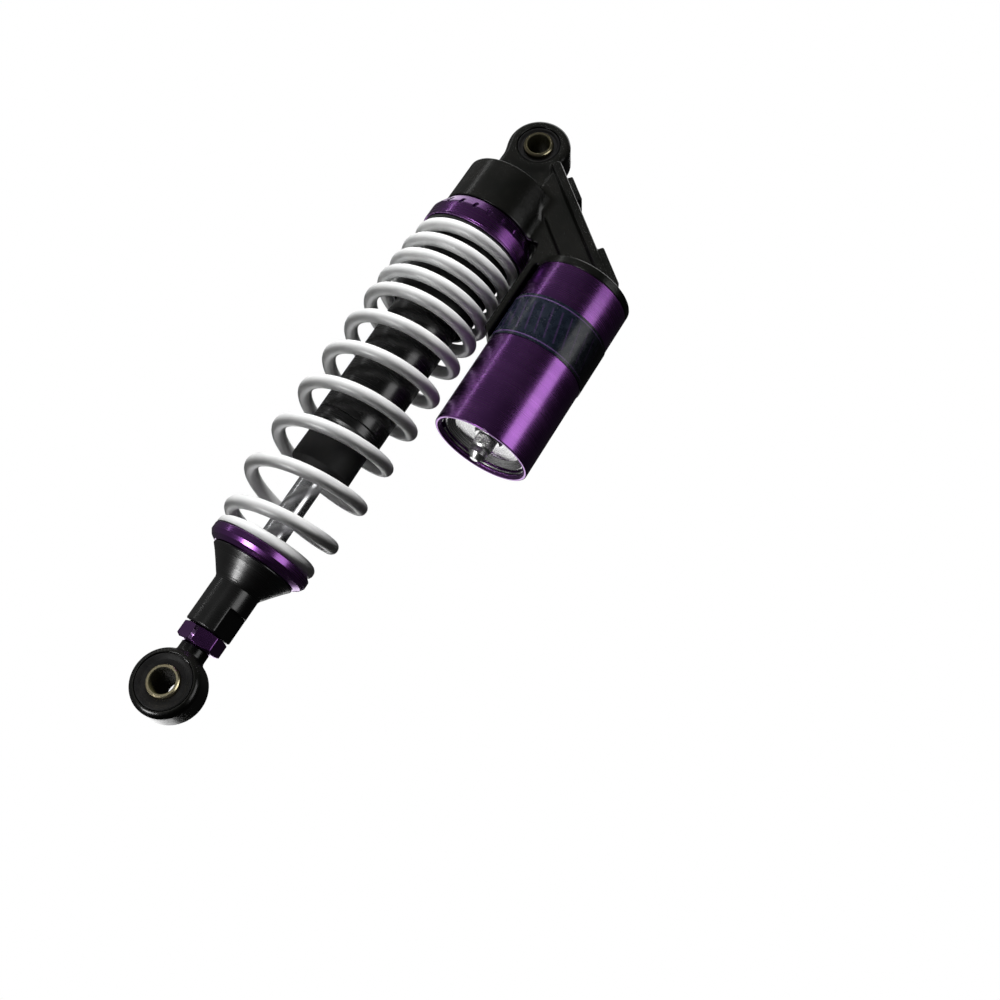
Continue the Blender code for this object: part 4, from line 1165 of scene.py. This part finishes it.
def add_world():
    """White seen directly. In reflections, a dim wall on the left that fades to a dark right."""
    world = bpy.data.worlds.new("studio")
    bpy.context.scene.world = world
    world.use_nodes = True
    tree = world.node_tree

    def node(kind, **values):
        made = tree.nodes.new("ShaderNode" + kind)
        for key, value in values.items():
            socket = made.inputs[key.replace("_", " ")]
            if isinstance(value, bpy.types.NodeSocket):
                tree.links.new(value, socket)
            else:
                socket.default_value = value
        return made.outputs[0]

    wall, dark, pale = math.radians(-62), 0.014, 0.14
    direction = tree.nodes.new("ShaderNodeTexCoord").outputs["Generated"]
    toward = tree.nodes.new("ShaderNodeVectorMath")
    toward.operation = "DOT_PRODUCT"
    tree.links.new(direction, toward.inputs[0])
    toward.inputs[1].default_value = (math.sin(wall), -math.cos(wall), 0)
    facing = toward.outputs["Value"]
    reflected = node("MapRange", Value=facing, From_Min=-0.1, From_Max=0.9, To_Min=dark, To_Max=pale)
    seen = tree.nodes.new("ShaderNodeLightPath").outputs["Is Camera Ray"]
    strength = node("MapRange", Value=seen, To_Min=reflected, To_Max=1.0)
    tree.links.new(strength, tree.nodes["Background"].inputs["Strength"])
    tree.nodes["Background"].inputs["Color"].default_value = (1, 1, 1, 1)


def add_floor():
    """Pale floor just under the lowest point. Seen from below it lets the camera through."""
    gap, radius = 0.001, 3.0
    shape = bmesh.new()
    bmesh.ops.create_circle(shape, cap_ends=True, segments=96, radius=radius)
    mesh = bpy.data.meshes.new("floor")
    shape.to_mesh(mesh)
    shape.free()
    floor = add_object("floor", mesh)
    floor.location.z = CAD_BOUNDS[0].z - gap
    f = Finish("pale_floor", emission_color=(1.0, 1.0, 1.0), emission_strength=0.62)
    f.colour(f.mix(f.noise(9.0, 4.0), (0.38, 0.38, 0.38), (0.42, 0.42, 0.415)))
    f.rough(f.remap(f.noise(40.0, 3.0), 0.3, 0.7, 0.55, 0.70))
    below = f.node("NewGeometry").outputs["Backfacing"]
    f.put(f.math("SUBTRACT", 1.0, below), f.shader.inputs["Alpha"])
    mesh.materials.append(f.material)
    for setting in ("visible_glossy", "visible_diffuse", "visible_shadow"):
        setattr(floor, setting, False)


add_camera()
add_world()
add_floor()
# The key lights the spring's paint. The strips are only for the streaks on turned pieces.
softbox("key", -26, 44, 1.1, (0.60, 0.60), 25, glossy=False)
softbox("right_strip", 62, 11, 0.9, (0.46, 0.66), 1.9, diffuse=False)
softbox("left_strip", -70, 20, 0.9, (0.03, 0.8), 0.30, diffuse=False)
softbox("low_left", -27, -58, 0.9, (0.26, 0.26), 3.2, diffuse=False)
softbox("low_front", -15, -8, 0.9, (0.25, 0.12), 0.06, diffuse=False)
softbox("behind_below", 195, -22, 1.0, (0.5, 0.4), 1.2, diffuse=False)
softbox("back_fill", 215, 62, 1.4, (1.2, 1.2), 6)
bpy.context.scene.view_settings.view_transform = "Standard"
